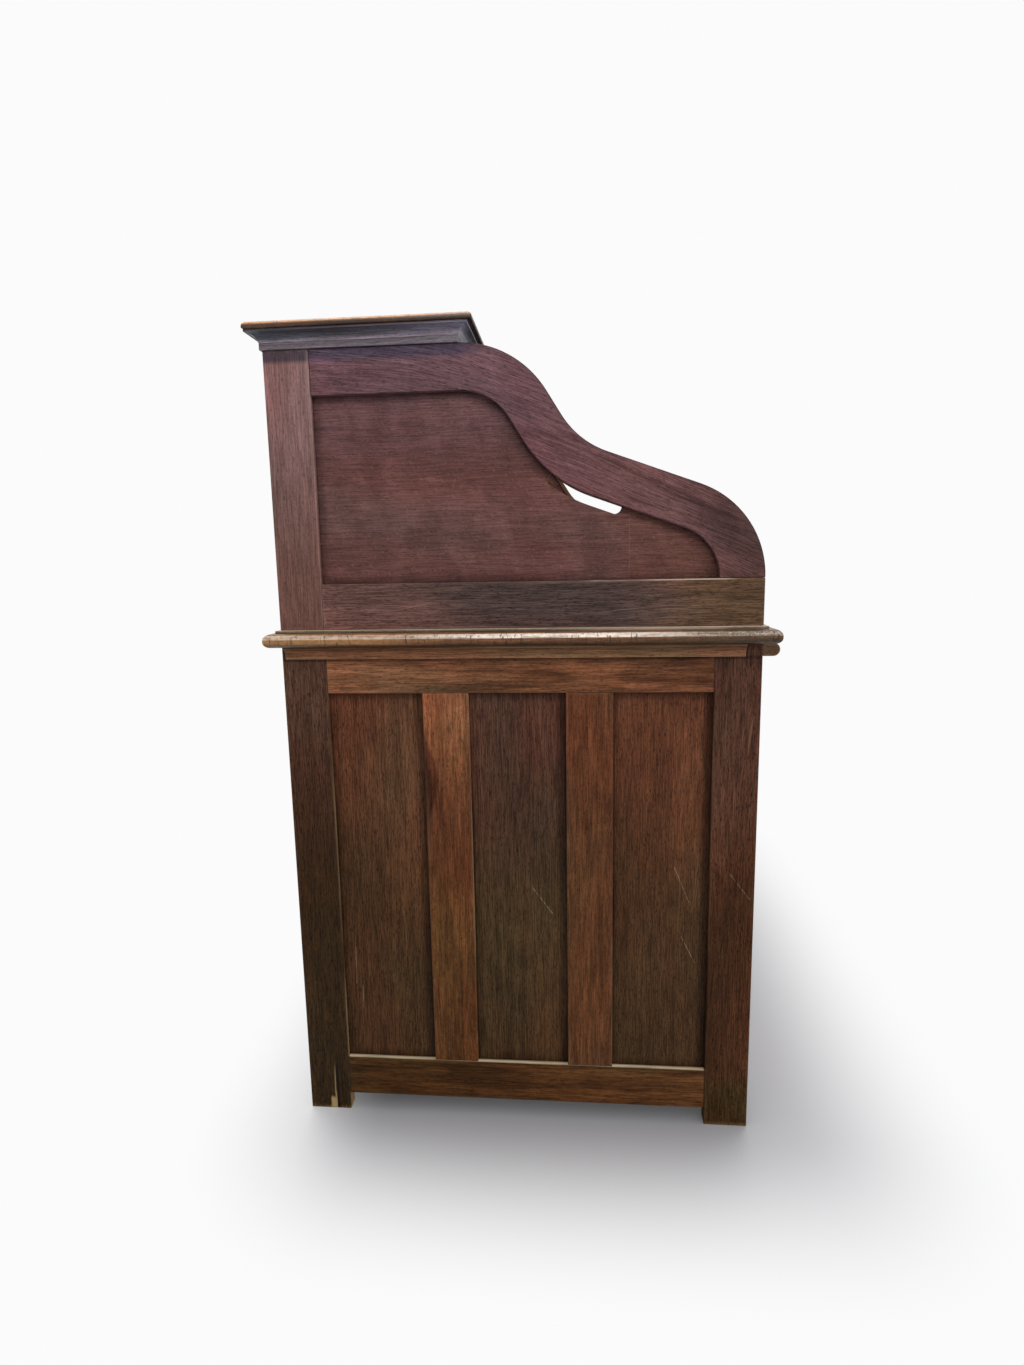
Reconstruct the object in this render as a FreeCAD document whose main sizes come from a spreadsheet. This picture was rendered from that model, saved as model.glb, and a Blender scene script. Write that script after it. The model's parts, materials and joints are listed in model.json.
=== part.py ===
import FreeCAD, Part
import math
import os
import re

# An oak roll-top desk with framed and panelled ends, built as separate boards.
# Millimetres and degrees. +Z is up, the front faces -Y, and the origin is on the floor, under the middle.
# The curtain is modelled open, run back under the top and down behind the pigeonholes.

SIZES = {
    # The base: two framed ends, joined by the writing top.
    "base_width": 1170,
    "base_depth": 700,
    "base_height": 763,
    "foot_height": 29,
    "frame_thickness": 22,
    "stile_width": 66,
    "muntin_width": 69,
    "bottom_rail_height": 65,
    "top_rail_height": 71,
    "panel_thickness": 8,
    "panel_recess": 9,
    "groove_depth": 7,
    "panel_tongue": 6,
    # The two pedestals and their backs.
    "pedestal_width": 335,
    "inner_side_thickness": 18,
    "base_back_thickness": 12,
    "kneehole_gap_height": 180,
    # The fronts of the drawer bays and the strips that carry the drawers.
    "base_rail_height": 40,
    "drawer_rail_thickness": 18,
    "drawer_rail_depth": 60,
    "runner_width": 12,
    "top_bay_height": 150,
    "middle_bay_height": 180,
    "centre_bay_height": 100,
    # The drawers, and the play that they run with.
    "drawer_front_thickness": 20,
    "drawer_side_thickness": 10,
    "drawer_bottom_thickness": 6,
    "drawer_bottom_rise": 6,
    "drawer_length": 600,
    "drawer_side_drop": 12,
    "drawer_setback": 1,
    "drawer_play": 1.5,
    "drawer_lift": 0.4,
    "pull_length": 110,
    "pull_reach": 20,
    "pull_height": 26,
    "pull_lip": 6,
    "pull_root": 8,
    # The pull-out slide over each pedestal.
    "slide_space": 20,
    "slide_play": 0.5,
    "slide_length": 620,
    "nosing_reach": 24,
    "nosing_inset": 2,
    "nosing_play": 0.4,
    # The writing top and the cove under its ends.
    "writing_top_thickness": 20,
    "top_end_overhang": 25,
    "top_front_overhang": 21,
    "top_back_overhang": 19,
    "top_nose_radius": 9,
    "cove_height": 19,
    "cove_depth": 12,
    "cove_lip": 3,
    "cove_front_gap": 24,
    "cove_back_gap": 6,
    # The upper case: a plinth, and two ends with an S-shaped rail.
    "plinth_thickness": 4,
    "plinth_overhang": 6,
    "upper_bottom_rail_height": 67,
    "s_rail_width": 63,
    "low_radius": 138,
    "gentle_angle": 20,
    "gentle_run": 137,
    "hollow_radius": 123,
    "steep_angle": 58,
    "steep_run": 38,
    "high_radius": 142,
    "slot_high_angle": 38,
    "slot_length": 98,
    "slot_width": 13,
    # The back of the upper case.
    "upper_back_thickness": 18,
    "upper_back_rail_height": 60,
    "upper_back_stile_width": 50,
    "upper_back_panel_recess": 5,
    # The top: a fascia frame, a mitred moulding round it and the top board.
    "fascia_height": 9,
    "fascia_width": 44,
    "fascia_overhang": 3,
    "fascia_setback": 22,
    "moulding_height": 15,
    "moulding_reach": 15,
    "moulding_lip": 3,
    "top_board_thickness": 10,
    "top_board_front": 300,
    "top_board_end_overhang": 22,
    "top_board_back_overhang": 19,
    "top_board_nose": 7.5,
    "top_board_edge": 2,
    # The pigeonholes.
    "pigeonhole_board": 10,
    "pigeonhole_depth": 205,
    "pigeonhole_height": 250,
    "pigeonhole_lower_height": 112,
    "pigeonhole_back_thickness": 6,
    "pigeonhole_track_gap": 3,
    # The curtain, its lead rail and its tracks.
    "curtain_inset": 22,
    "curtain_back_gap": 38,
    "corner_radius": 60,
    "curtain_travel": 545,
    "track_width": 8,
    "track_depth": 10,
    "track_play": 2.5,
    "slat_pitch": 29,
    "slat_gap": 1,
    "slat_thickness": 9,
    "slat_edge": 4,
    "slat_end_gap": 0.6,
    "lead_height": 52,
    "lead_thickness": 19,
    "lead_round": 4,
    "lead_gap": 0.6,
    "lift_length": 90,
    "lift_reach": 14,
    "lift_height": 16,
    "lift_spacing": 560,
    "lock_length": 60,
    "lock_height": 32,
    "lock_thickness": 12,
    "escutcheon_radius": 11,
    "escutcheon_thickness": 2,
}
DRAWER_NAMES = ("top", "middle", "bottom")
END_PANELS = 3
LOWER_BAYS = 4
UPPER_BAYS = 6
SLAT_GROUPS = (2, 2, 2, 1, 1, 1, 1, 2, 2, 2, 2, 2)
# The largest share of a board's thickness that a round edge can take, and the middle of a quarter round.
ROUND_LIMIT = 0.48
DIAGONAL = math.sqrt(0.5)

doc = FreeCAD.newDocument("roll_top_desk")
sheet = doc.addObject("Spreadsheet::Sheet", "Sizes")
aliases = set()
nodes = []


def put(alias, number):
    """One row of the sheet: a name and its plain number."""
    row = len(aliases) + 1
    sheet.set(f"A{row}", alias)
    sheet.set(f"B{row}", str(number))
    sheet.setAlias(f"B{row}", alias)
    aliases.add(alias)


for alias, number in SIZES.items():
    put(alias, number)
doc.recompute()


def size(alias):
    return float(sheet.get(alias))


def bind(thing, prop, formula):
    """Ties a property to a formula of the sheet's sizes."""
    def cell(match):
        word = match.group(0)
        return f"Sizes.{word}" if word in aliases else word
    thing.setExpression(prop, re.sub(r"[a-z][a-z_0-9]*", cell, formula))


def board(name, x, y, z, length, width, height):
    """A plain board from its lowest corner and its sizes along X, Y and Z, all as formulas."""
    box = doc.addObject("Part::Box", name)
    formulas = {
        "Placement.Base.x": x,
        "Placement.Base.y": y,
        "Placement.Base.z": z,
        "Length": length,
        "Width": width,
        "Height": height,
    }
    for prop, formula in formulas.items():
        bind(box, prop, formula)
    return box


def cut(name, base, tool):
    result = doc.addObject("Part::Cut", name)
    result.Base = base
    result.Tool = tool
    return result


def compound(name, members):
    result = doc.addObject("Part::Compound", name)
    result.Links = members
    return result


def node(label, thing):
    """Names a finished sub-part, whose label is also its file's name."""
    thing.Label = label
    nodes.append(thing)
    return thing


def point(across, up):
    return FreeCAD.Vector(across, up, 0)


def lines(*corners):
    """Straight edges from corner to corner."""
    return [Part.LineSegment(start, end) for start, end in zip(corners, corners[1:])]


def profile(name, plane, edges, length):
    """A body whose closed outline lies on an origin plane and is padded to a length."""
    body = doc.addObject("PartDesign::Body", name)
    sketch = body.newObject("Sketcher::SketchObject", f"{name}_outline")
    support = next(item for item in body.Origin.OriginFeatures if item.Role == plane)
    sketch.AttachmentSupport = [(support, "")]
    sketch.MapMode = "FlatFace"
    sketch.addGeometry(edges, False)
    pad = body.newObject("PartDesign::Pad", f"{name}_pad")
    pad.Profile = sketch
    bind(pad, "Length", length)
    return body


def rounded(name, thing, upper, lower):
    """Rounds the level edges round the top and the bottom of a board."""
    doc.recompute()
    fillet = doc.addObject("Part::Fillet", name)
    fillet.Base = thing
    middle = thing.Shape.BoundBox.Center.z
    level = []
    for index, edge in enumerate(thing.Shape.Edges, start=1):
        if abs(edge.tangentAt(edge.FirstParameter).z) < 0.5:
            radius = upper if edge.CenterOfMass.z > middle else lower
            level.append((index, radius, radius))
    fillet.Edges = level
    return fillet


# Levels and widths that follow from the driving sizes.
desk_top = size("base_height") + size("writing_top_thickness")
case_floor = desk_top + size("plinth_thickness")
curve_foot = case_floor + size("upper_bottom_rail_height")
front = -size("base_depth") / 2
back = size("base_depth") / 2
stile_line = back - size("stile_width")
slide_floor = size("base_height") - size("slide_space")
bottom_bay_floor = size("foot_height") + size("base_rail_height")
top_bay_floor = slide_floor - size("drawer_rail_thickness") - size("top_bay_height")
middle_bay_floor = top_bay_floor - size("drawer_rail_thickness") - size("middle_bay_height")
bottom_bay_height = middle_bay_floor - size("drawer_rail_thickness") - bottom_bay_floor
muntins_width = (END_PANELS - 1) * size("muntin_width")
panel_width = (size("base_depth") - 2 * size("stile_width") - muntins_width) / END_PANELS
inner_face = size("base_width") / 2 - size("frame_thickness")
put("desk_top", desk_top)
put("case_floor", case_floor)
put("curve_foot", curve_foot)
put("slide_floor", slide_floor)
put("top_bay_floor", top_bay_floor)
put("middle_bay_floor", middle_bay_floor)
put("bottom_bay_floor", bottom_bay_floor)
put("bottom_bay_height", bottom_bay_height)
put("bay_width", size("pedestal_width") - size("frame_thickness") - size("inner_side_thickness"))
put("panel_width", panel_width)
put("inner_face", inner_face)


# The S-curve of the upper ends: arc, straight, hollow arc, straight, arc, from the front foot to the top.
def outward(slope):
    """Square to the curve, out of the desk, where the curve climbs at this slope."""
    return point(-math.sin(math.radians(slope)), math.cos(math.radians(slope)))


def along(slope):
    return point(math.cos(math.radians(slope)), math.sin(math.radians(slope)))


upright = 90
level = 0
gentle = size("gentle_angle")
steep = size("steep_angle")
low_centre = point(front + size("low_radius"), curve_foot)
shoulder = low_centre + outward(gentle) * size("low_radius") + along(gentle) * size("gentle_run")
hollow_centre = shoulder + outward(gentle) * size("hollow_radius")
neck = hollow_centre - outward(steep) * size("hollow_radius") + along(steep) * size("steep_run")
high_centre = neck - outward(steep) * size("high_radius")
case_top = high_centre.y + size("high_radius")
put("case_top", case_top)
corner_centre = point(
    back - size("curtain_back_gap") - size("corner_radius"),
    case_top - size("curtain_inset") - size("corner_radius"),
)


def bow(centre, radius, first, last):
    """An arc round a centre between two slopes. A hollow arc has a negative radius."""
    middle = (first + last) / 2
    return Part.Arc(*[centre + outward(slope) * radius for slope in (first, middle, last)])


def s_curve(inset):
    """The S-curve's edges at a distance inside the outline."""
    low = bow(low_centre, size("low_radius") - inset, upright, gentle)
    hollow = bow(hollow_centre, -size("hollow_radius") - inset, gentle, steep)
    high = bow(high_centre, size("high_radius") - inset, steep, level)
    run = Part.LineSegment(low.EndPoint, hollow.StartPoint)
    climb = Part.LineSegment(hollow.EndPoint, high.StartPoint)
    return [low, run, hollow, climb, high]


def curtain_curve(inset, floor):
    """The whole way of the curtain at an inset: the S-curve, the top, the back corner and down the back."""
    curve = s_curve(inset)
    radius = size("corner_radius") + size("curtain_inset") - inset
    corner = bow(corner_centre, radius, level, -upright)
    foot = Part.LineSegment(point(front + inset, floor), curve[0].StartPoint)
    top = Part.LineSegment(curve[-1].EndPoint, corner.StartPoint)
    tail = Part.LineSegment(corner.EndPoint, point(corner.EndPoint.x, desk_top))
    return [foot] + curve + [top, corner, tail]


def panel_outline(rim):
    """The upper panel's opening, made larger by a rim all round."""
    inset = size("s_rail_width") - rim
    curve = s_curve(inset)
    foot = point(front + inset, curve_foot - rim)
    top_corner = point(stile_line + rim, case_top - inset)
    low_corner = point(stile_line + rim, curve_foot - rim)
    return curve + lines(curve[-1].EndPoint, top_corner, low_corner, foot, curve[0].StartPoint)


# The base's ends: stiles that run down into feet, rails, muntins and flat panels in grooves.
LEFT_X = {
    "frame": "-base_width / 2",
    "panel": "-base_width / 2 + panel_recess",
    "bay": "-inner_face",
    "inner": "-base_width / 2 + pedestal_width - inner_side_thickness",
    "nosing": "-base_width / 2 + nosing_inset",
    "track": "-inner_face",
}
RIGHT_X = {
    "frame": "base_width / 2 - frame_thickness",
    "panel": "base_width / 2 - panel_recess - panel_thickness",
    "bay": "base_width / 2 - pedestal_width + inner_side_thickness",
    "inner": "base_width / 2 - pedestal_width",
    "nosing": "base_width / 2 - pedestal_width + nosing_inset",
    "track": "inner_face - track_depth",
}
SIDES = (("left", LEFT_X), ("right", RIGHT_X))
FIRST_PANEL = "-base_depth / 2 + stile_width"
PANEL_STEP = "(panel_width + muntin_width)"


def end_panel(name, place, index, rim):
    """One panel of a base end, larger than its opening by a rim."""
    return board(
        name, place["panel"], f"{FIRST_PANEL} + {index} * {PANEL_STEP} - {rim}",
        f"foot_height + bottom_rail_height - {rim}", "panel_thickness", f"panel_width + 2 * {rim}",
        f"base_height - top_rail_height - foot_height - bottom_rail_height + 2 * {rim}",
    )


def base_end(side, place):
    rim_boards = [end_panel(f"{side}_groove_{index}", place, index, "groove_depth") for index in range(END_PANELS)]
    grooves = compound(f"{side}_grooves", rim_boards)

    def grooved(name, y, z, width, height):
        plain = board(f"{name}_board", place["frame"], y, z, "frame_thickness", width, height)
        return cut(name, plain, grooves)

    front_stile = grooved(f"{side}_front_stile", "-base_depth / 2", "0", "stile_width", "base_height")
    back_stile = grooved(f"{side}_back_stile", "base_depth / 2 - stile_width", "0", "stile_width", "base_height")
    node(f"{side}_end_stiles", compound(f"{side}_end_stiles", [front_stile, back_stile]))
    rail_length = "base_depth - 2 * stile_width"
    low_rail = grooved(f"{side}_low_rail", FIRST_PANEL, "foot_height", rail_length, "bottom_rail_height")
    high_rail = grooved(
        f"{side}_high_rail", FIRST_PANEL, "base_height - top_rail_height", rail_length, "top_rail_height")
    node(f"{side}_end_rails", compound(f"{side}_end_rails", [low_rail, high_rail]))
    muntins = []
    for index in range(END_PANELS - 1):
        muntins.append(grooved(
            f"{side}_muntin_{index}", f"{FIRST_PANEL} + panel_width + {index} * {PANEL_STEP}",
            "foot_height + bottom_rail_height", "muntin_width",
            "base_height - top_rail_height - foot_height - bottom_rail_height"))
    panels = [end_panel(f"{side}_panel_{index}", place, index, "panel_tongue") for index in range(END_PANELS)]
    return muntins, panels


end_muntins = []
end_panels = []
for side, place in SIDES:
    muntins, panels = base_end(side, place)
    end_muntins += muntins
    end_panels += panels
node("end_muntins", compound("end_muntins", end_muntins))
node("end_panels", compound("end_panels", end_panels))

# The pedestals' inner sides, cut away between two feet.
for side, place in SIDES:
    plain = board(
        f"{side}_inner_board", place["inner"], "-base_depth / 2", "0",
        "inner_side_thickness", "base_depth", "base_height")
    arch = board(
        f"{side}_inner_arch", place["inner"], FIRST_PANEL, "0",
        "inner_side_thickness", "base_depth - 2 * stile_width", "foot_height")
    node(f"{side}_inner_side", cut(f"{side}_inner_side", plain, arch))

# Backs: one board behind each pedestal and a shorter one across the kneehole.
back_boards = []
for side, place in SIDES:
    back_boards.append(board(
        f"{side}_pedestal_back", place["bay"], "base_depth / 2 - base_back_thickness", "foot_height",
        "bay_width", "base_back_thickness", "base_height - foot_height"))
back_boards.append(board(
    "kneehole_back", "-base_width / 2 + pedestal_width", "base_depth / 2 - base_back_thickness",
    "kneehole_gap_height", "base_width - 2 * pedestal_width", "base_back_thickness",
    "base_height - kneehole_gap_height"))
node("base_backs", compound("base_backs", back_boards))

# Drawer rails across the pedestal fronts, and the runners behind them.
front_rails = []
runners = []
RAIL_END = "-base_depth / 2 + drawer_rail_depth"
RUNNER_LENGTH = "base_depth - drawer_rail_depth - base_back_thickness"
for side, place in SIDES:
    front_rails.append(board(
        f"{side}_base_rail", place["bay"], "-base_depth / 2", "foot_height",
        "bay_width", "drawer_rail_depth", "base_rail_height"))
    for floor in ("middle_bay_floor", "top_bay_floor", "slide_floor"):
        front_rails.append(board(
            f"{side}_rail_{floor}", place["bay"], "-base_depth / 2", f"{floor} - drawer_rail_thickness",
            "bay_width", "drawer_rail_depth", "drawer_rail_thickness"))
    for floor in ("bottom_bay_floor", "middle_bay_floor", "top_bay_floor", "slide_floor"):
        for wall, shift in (("near", "0"), ("far", "bay_width - runner_width")):
            runners.append(board(
                f"{side}_{wall}_runner_{floor}", f"{place['bay']} + {shift}", RAIL_END,
                f"{floor} - drawer_rail_thickness", "runner_width", RUNNER_LENGTH, "drawer_rail_thickness"))
CENTRE_FLOOR = "(base_height - centre_bay_height)"
for wall, x in (("left", "-base_width / 2 + pedestal_width"),
                ("right", "base_width / 2 - pedestal_width - runner_width")):
    runners.append(board(
        f"{wall}_centre_runner", x, RAIL_END, f"{CENTRE_FLOOR} - drawer_rail_thickness",
        "runner_width", RUNNER_LENGTH, "drawer_rail_thickness"))
node("drawer_rails", compound("drawer_rails", front_rails))
node("drawer_runners", compound("drawer_runners", runners))


# Drawers: a front, two sides, a bottom let in between them and a back that stands on the bottom.
def drawer(name, x, floor, bay_width, bay_height):
    side_height = f"({bay_height} - drawer_lift - drawer_side_drop)"
    side_y = "-base_depth / 2 + drawer_setback + drawer_front_thickness"
    side_z = f"{floor} + drawer_lift"
    inside_x = f"{x} + drawer_play + drawer_side_thickness"
    inside_width = f"{bay_width} - 2 * drawer_play - 2 * drawer_side_thickness"
    bottom_z = f"{side_z} + drawer_bottom_rise"
    face = board(
        f"{name}_front", f"{x} + drawer_play", "-base_depth / 2 + drawer_setback", f"{floor} + drawer_play",
        f"{bay_width} - 2 * drawer_play", "drawer_front_thickness", f"{bay_height} - 2 * drawer_play")
    near_side = board(
        f"{name}_near_side", f"{x} + drawer_play", side_y, side_z,
        "drawer_side_thickness", "drawer_length", side_height)
    far_side = board(
        f"{name}_far_side", f"{x} + {bay_width} - drawer_play - drawer_side_thickness", side_y, side_z,
        "drawer_side_thickness", "drawer_length", side_height)
    bottom = board(
        f"{name}_bottom", inside_x, side_y, bottom_z, inside_width, "drawer_length", "drawer_bottom_thickness")
    rear = board(
        f"{name}_rear", inside_x, f"{side_y} + drawer_length - drawer_side_thickness",
        f"{bottom_z} + drawer_bottom_thickness", inside_width, "drawer_side_thickness",
        f"{side_height} - drawer_bottom_rise - drawer_bottom_thickness")
    node(name, compound(name, [face, near_side, far_side, bottom, rear]))


def pull(name, x_middle, z_middle):
    """A carved bar with a rounded brow and a hollow under it for the fingers."""
    half = size("pull_height") / 2
    reach = size("pull_reach")
    lip = size("pull_lip")
    root = size("pull_root")
    brow_start = point(-root, half)
    brow_middle = point(-root - (reach - root) * DIAGONAL, half * DIAGONAL)
    brow_end = point(-reach, 0)
    lip_back = point(lip - reach, -half)
    hollow_middle = point((lip - reach) * DIAGONAL, (half - lip / 2) * DIAGONAL - half)
    hollow_end = point(0, -lip / 2)
    edges = lines(hollow_end, point(0, half), brow_start)
    edges.append(Part.Arc(brow_start, brow_middle, brow_end))
    edges += lines(brow_end, point(-reach, -half), lip_back)
    edges.append(Part.Arc(lip_back, hollow_middle, hollow_end))
    bar = profile(name, "YZ_Plane", edges, "pull_length")
    bind(bar, "Placement.Base.x", f"{x_middle} - pull_length / 2")
    bind(bar, "Placement.Base.y", "-base_depth / 2 + drawer_setback")
    bind(bar, "Placement.Base.z", z_middle)
    node(name, bar)


for side, place in SIDES:
    for level_name in DRAWER_NAMES:
        floor = f"{level_name}_bay_floor"
        height = f"{level_name}_bay_height"
        drawer(f"{side}_{level_name}_drawer", place["bay"], floor, "bay_width", height)
        pull(f"{side}_{level_name}_pull", f"{place['bay']} + bay_width / 2", f"{floor} + {height} / 2")
drawer("centre_drawer", "-base_width / 2 + pedestal_width", CENTRE_FLOOR,
       "(base_width - 2 * pedestal_width)", "centre_bay_height")
pull("centre_pull", "0", f"{CENTRE_FLOOR} + centre_bay_height / 2")

# Slides: a board that draws out over each pedestal, with a round nosing across its front.
for side, place in SIDES:
    leaf = board(
        f"{side}_slide_board", f"{place['bay']} + slide_play", "-base_depth / 2 - nosing_play",
        "slide_floor + slide_play", "bay_width - 2 * slide_play", "slide_length", "slide_space - 2 * slide_play")
    thickness = size("slide_space") - 2 * size("slide_play")
    reach = size("nosing_reach")
    square = reach - thickness / 2
    edges = lines(point(-square, 0), point(0, 0), point(0, thickness), point(-square, thickness))
    edges.append(Part.Arc(point(-square, thickness), point(-reach, thickness / 2), point(-square, 0)))
    nosing = profile(f"{side}_nosing", "YZ_Plane", edges, "pedestal_width - 2 * nosing_inset")
    bind(nosing, "Placement.Base.x", place["nosing"])
    bind(nosing, "Placement.Base.y", "-base_depth / 2 - nosing_play")
    bind(nosing, "Placement.Base.z", "slide_floor + slide_play")
    node(f"{side}_slide", compound(f"{side}_slide", [leaf, nosing]))

# The writing top, with round edges, and the cove strip under each of its ends.
plain_top = board(
    "writing_top_board", "-base_width / 2 - top_end_overhang", "-base_depth / 2 - top_front_overhang",
    "base_height", "base_width + 2 * top_end_overhang",
    "base_depth + top_front_overhang + top_back_overhang", "writing_top_thickness")
nose = min(size("top_nose_radius"), ROUND_LIMIT * size("writing_top_thickness"))
node("writing_top", rounded("writing_top", plain_top, nose, nose))


def cove(depth, height, lip):
    """A hollow moulding's section, from the wall it is fixed to, growing towards -X as it rises."""
    reach = depth - lip
    rise = height - lip
    arc_middle = point(-lip - reach * (1 - DIAGONAL), rise * DIAGONAL)
    edges = lines(point(-depth, rise), point(-depth, height), point(0, height), point(0, 0), point(-lip, 0))
    edges.append(Part.Arc(point(-lip, 0), arc_middle, point(-depth, rise)))
    return edges


strips = []
for side, turn in (("left", 0), ("right", 180)):
    strip = profile(
        f"{side}_cove", "XZ_Plane", cove(size("cove_depth"), size("cove_height"), size("cove_lip")),
        "base_depth - cove_front_gap - cove_back_gap")
    strip.Placement = FreeCAD.Placement(FreeCAD.Vector(), FreeCAD.Rotation(turn, 0, 0))
    bind(strip, "Placement.Base.x", "-base_width / 2" if turn == 0 else "base_width / 2")
    bind(strip, "Placement.Base.y",
         "base_depth / 2 - cove_back_gap" if turn == 0 else "-base_depth / 2 + cove_front_gap")
    bind(strip, "Placement.Base.z", "base_height - cove_height")
    strips.append(strip)
node("under_top_moulding", compound("under_top_moulding", strips))

# The plinth that the upper case stands on: a strip under each end and one under the back.
plinth = []
for side, x in (("left", "-base_width / 2 - plinth_overhang"), ("right", "inner_face")):
    plinth.append(board(
        f"{side}_plinth", x, "-base_depth / 2 - plinth_overhang", "desk_top",
        "frame_thickness + plinth_overhang", "base_depth + 2 * plinth_overhang", "plinth_thickness"))
plinth.append(board(
    "back_plinth", "-inner_face", "base_depth / 2 - upper_back_thickness", "desk_top",
    "2 * inner_face", "upper_back_thickness + plinth_overhang", "plinth_thickness"))
node("upper_plinth", compound("upper_plinth", plinth))


# The upper ends: a back stile, a bottom rail, the S-rail and one wide panel in a groove.
def slot_edges():
    """The slot's outline along the S-rail, where the panel stops short of it."""
    rim = size("groove_depth")
    inset = size("s_rail_width")
    first = size("slot_high_angle")
    outer = bow(hollow_centre, -size("hollow_radius") - inset + rim, gentle, first)
    inner = bow(hollow_centre, -size("hollow_radius") - inset - size("slot_width"), gentle, first)
    drawn = math.radians(first - gentle) * (size("hollow_radius") + inset)
    reach = along(gentle) * (drawn - size("slot_length"))
    outer_end = outer.StartPoint + reach
    inner_end = inner.StartPoint + reach
    end_bulge = (outer_end + inner_end) * 0.5 - along(gentle) * (size("slot_width") / 2)
    start_bulge = (outer.EndPoint + inner.EndPoint) * 0.5 + along(first) * (size("slot_width") / 2)
    edges = [outer, Part.Arc(outer.EndPoint, start_bulge, inner.EndPoint), inner]
    edges += lines(inner.StartPoint, inner_end)
    edges.append(Part.Arc(inner_end, end_bulge, outer_end))
    edges += lines(outer_end, outer.StartPoint)
    return edges


upper_stiles = []
upper_rails = []
for side, place in SIDES:
    groove = profile(f"{side}_upper_groove", "YZ_Plane", panel_outline(size("groove_depth")), "panel_thickness")
    bind(groove, "Placement.Base.x", place["panel"])
    stile = board(
        f"{side}_upper_stile_board", place["frame"], "base_depth / 2 - stile_width", "case_floor",
        "frame_thickness", "stile_width", "case_top - case_floor")
    upper_stiles.append(cut(f"{side}_upper_stile", stile, groove))
    rail = board(
        f"{side}_upper_rail_board", place["frame"], "-base_depth / 2", "case_floor",
        "frame_thickness", "base_depth - stile_width", "upper_bottom_rail_height")
    upper_rails.append(cut(f"{side}_upper_rail", rail, groove))
    outer = s_curve(0)
    inner = s_curve(size("s_rail_width"))
    joint = lines(
        outer[-1].EndPoint, point(stile_line, case_top),
        point(stile_line, case_top - size("s_rail_width")), inner[-1].EndPoint)
    foot = lines(inner[0].StartPoint, outer[0].StartPoint)
    s_board = profile(f"{side}_s_board", "YZ_Plane", outer + joint + inner + foot, "frame_thickness")
    bind(s_board, "Placement.Base.x", place["frame"])
    node(f"{side}_s_rail", cut(f"{side}_s_rail", s_board, groove))
    panel = profile(
        f"{side}_upper_panel_board", "YZ_Plane", panel_outline(size("panel_tongue")), "panel_thickness")
    bind(panel, "Placement.Base.x", place["panel"])
    slot = profile(f"{side}_slot", "YZ_Plane", slot_edges(), "panel_thickness")
    bind(slot, "Placement.Base.x", place["panel"])
    node(f"{side}_upper_panel", cut(f"{side}_upper_panel", panel, slot))
node("upper_stiles", compound("upper_stiles", upper_stiles))
node("upper_bottom_rails", compound("upper_bottom_rails", upper_rails))

# Tracks: on each end an outer and an inner strip, with the curtain's ends between them.
tracks = []
for side, place in SIDES:
    canvas = size("curtain_inset")
    shell = canvas - size("slat_thickness") - size("track_play")
    for name, near, far in (
            ("outer", shell - size("track_width"), shell),
            ("inner", canvas + size("track_play"), canvas + size("track_play") + size("track_width"))):
        first = curtain_curve(near, desk_top)
        second = curtain_curve(far, desk_top)
        ends = lines(first[-1].EndPoint, second[-1].EndPoint) + lines(first[0].StartPoint, second[0].StartPoint)
        strip = profile(f"{side}_{name}_track", "YZ_Plane", first + second + ends, "track_depth")
        bind(strip, "Placement.Base.x", place["track"])
        tracks.append(strip)
node("tambour_tracks", compound("tambour_tracks", tracks))

# The upper back: two rails, three uprights and two panels in grooves.
BACK_Y = "base_depth / 2 - upper_back_thickness"
BACK_PANEL_WIDTH = "((2 * inner_face - 3 * upper_back_stile_width) / 2)"
BACK_PANEL_FLOOR = "case_floor + upper_back_rail_height"
BACK_PANEL_HEIGHT = "(case_top - case_floor - 2 * upper_back_rail_height)"
BACK_LEFT_EDGES = ("-inner_face + upper_back_stile_width", "upper_back_stile_width / 2")


def back_panels(name, rim):
    return [board(
        f"{name}_{index}", f"{x} - {rim}", f"{BACK_Y} + upper_back_panel_recess", f"{BACK_PANEL_FLOOR} - {rim}",
        f"{BACK_PANEL_WIDTH} + 2 * {rim}", "panel_thickness", f"{BACK_PANEL_HEIGHT} + 2 * {rim}")
        for index, x in enumerate(BACK_LEFT_EDGES)]


back_grooves = compound("upper_back_grooves", back_panels("upper_back_groove", "groove_depth"))
back_frame = []
for name, z in (("low", "case_floor"), ("high", "case_top - upper_back_rail_height")):
    rail = board(
        f"upper_back_{name}_board", "-inner_face", BACK_Y, z,
        "2 * inner_face", "upper_back_thickness", "upper_back_rail_height")
    back_frame.append(cut(f"upper_back_{name}_rail", rail, back_grooves))
for name, x in (("left", "-inner_face"), ("middle", "-upper_back_stile_width / 2"),
                ("right", "inner_face - upper_back_stile_width")):
    stile = board(
        f"upper_back_{name}_board", x, BACK_Y, BACK_PANEL_FLOOR,
        "upper_back_stile_width", "upper_back_thickness", BACK_PANEL_HEIGHT)
    back_frame.append(cut(f"upper_back_{name}_stile", stile, back_grooves))
node("upper_back_frame", compound("upper_back_frame", back_frame))
node("upper_back_panels", compound("upper_back_panels", back_panels("upper_back_panel", "panel_tongue")))

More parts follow.
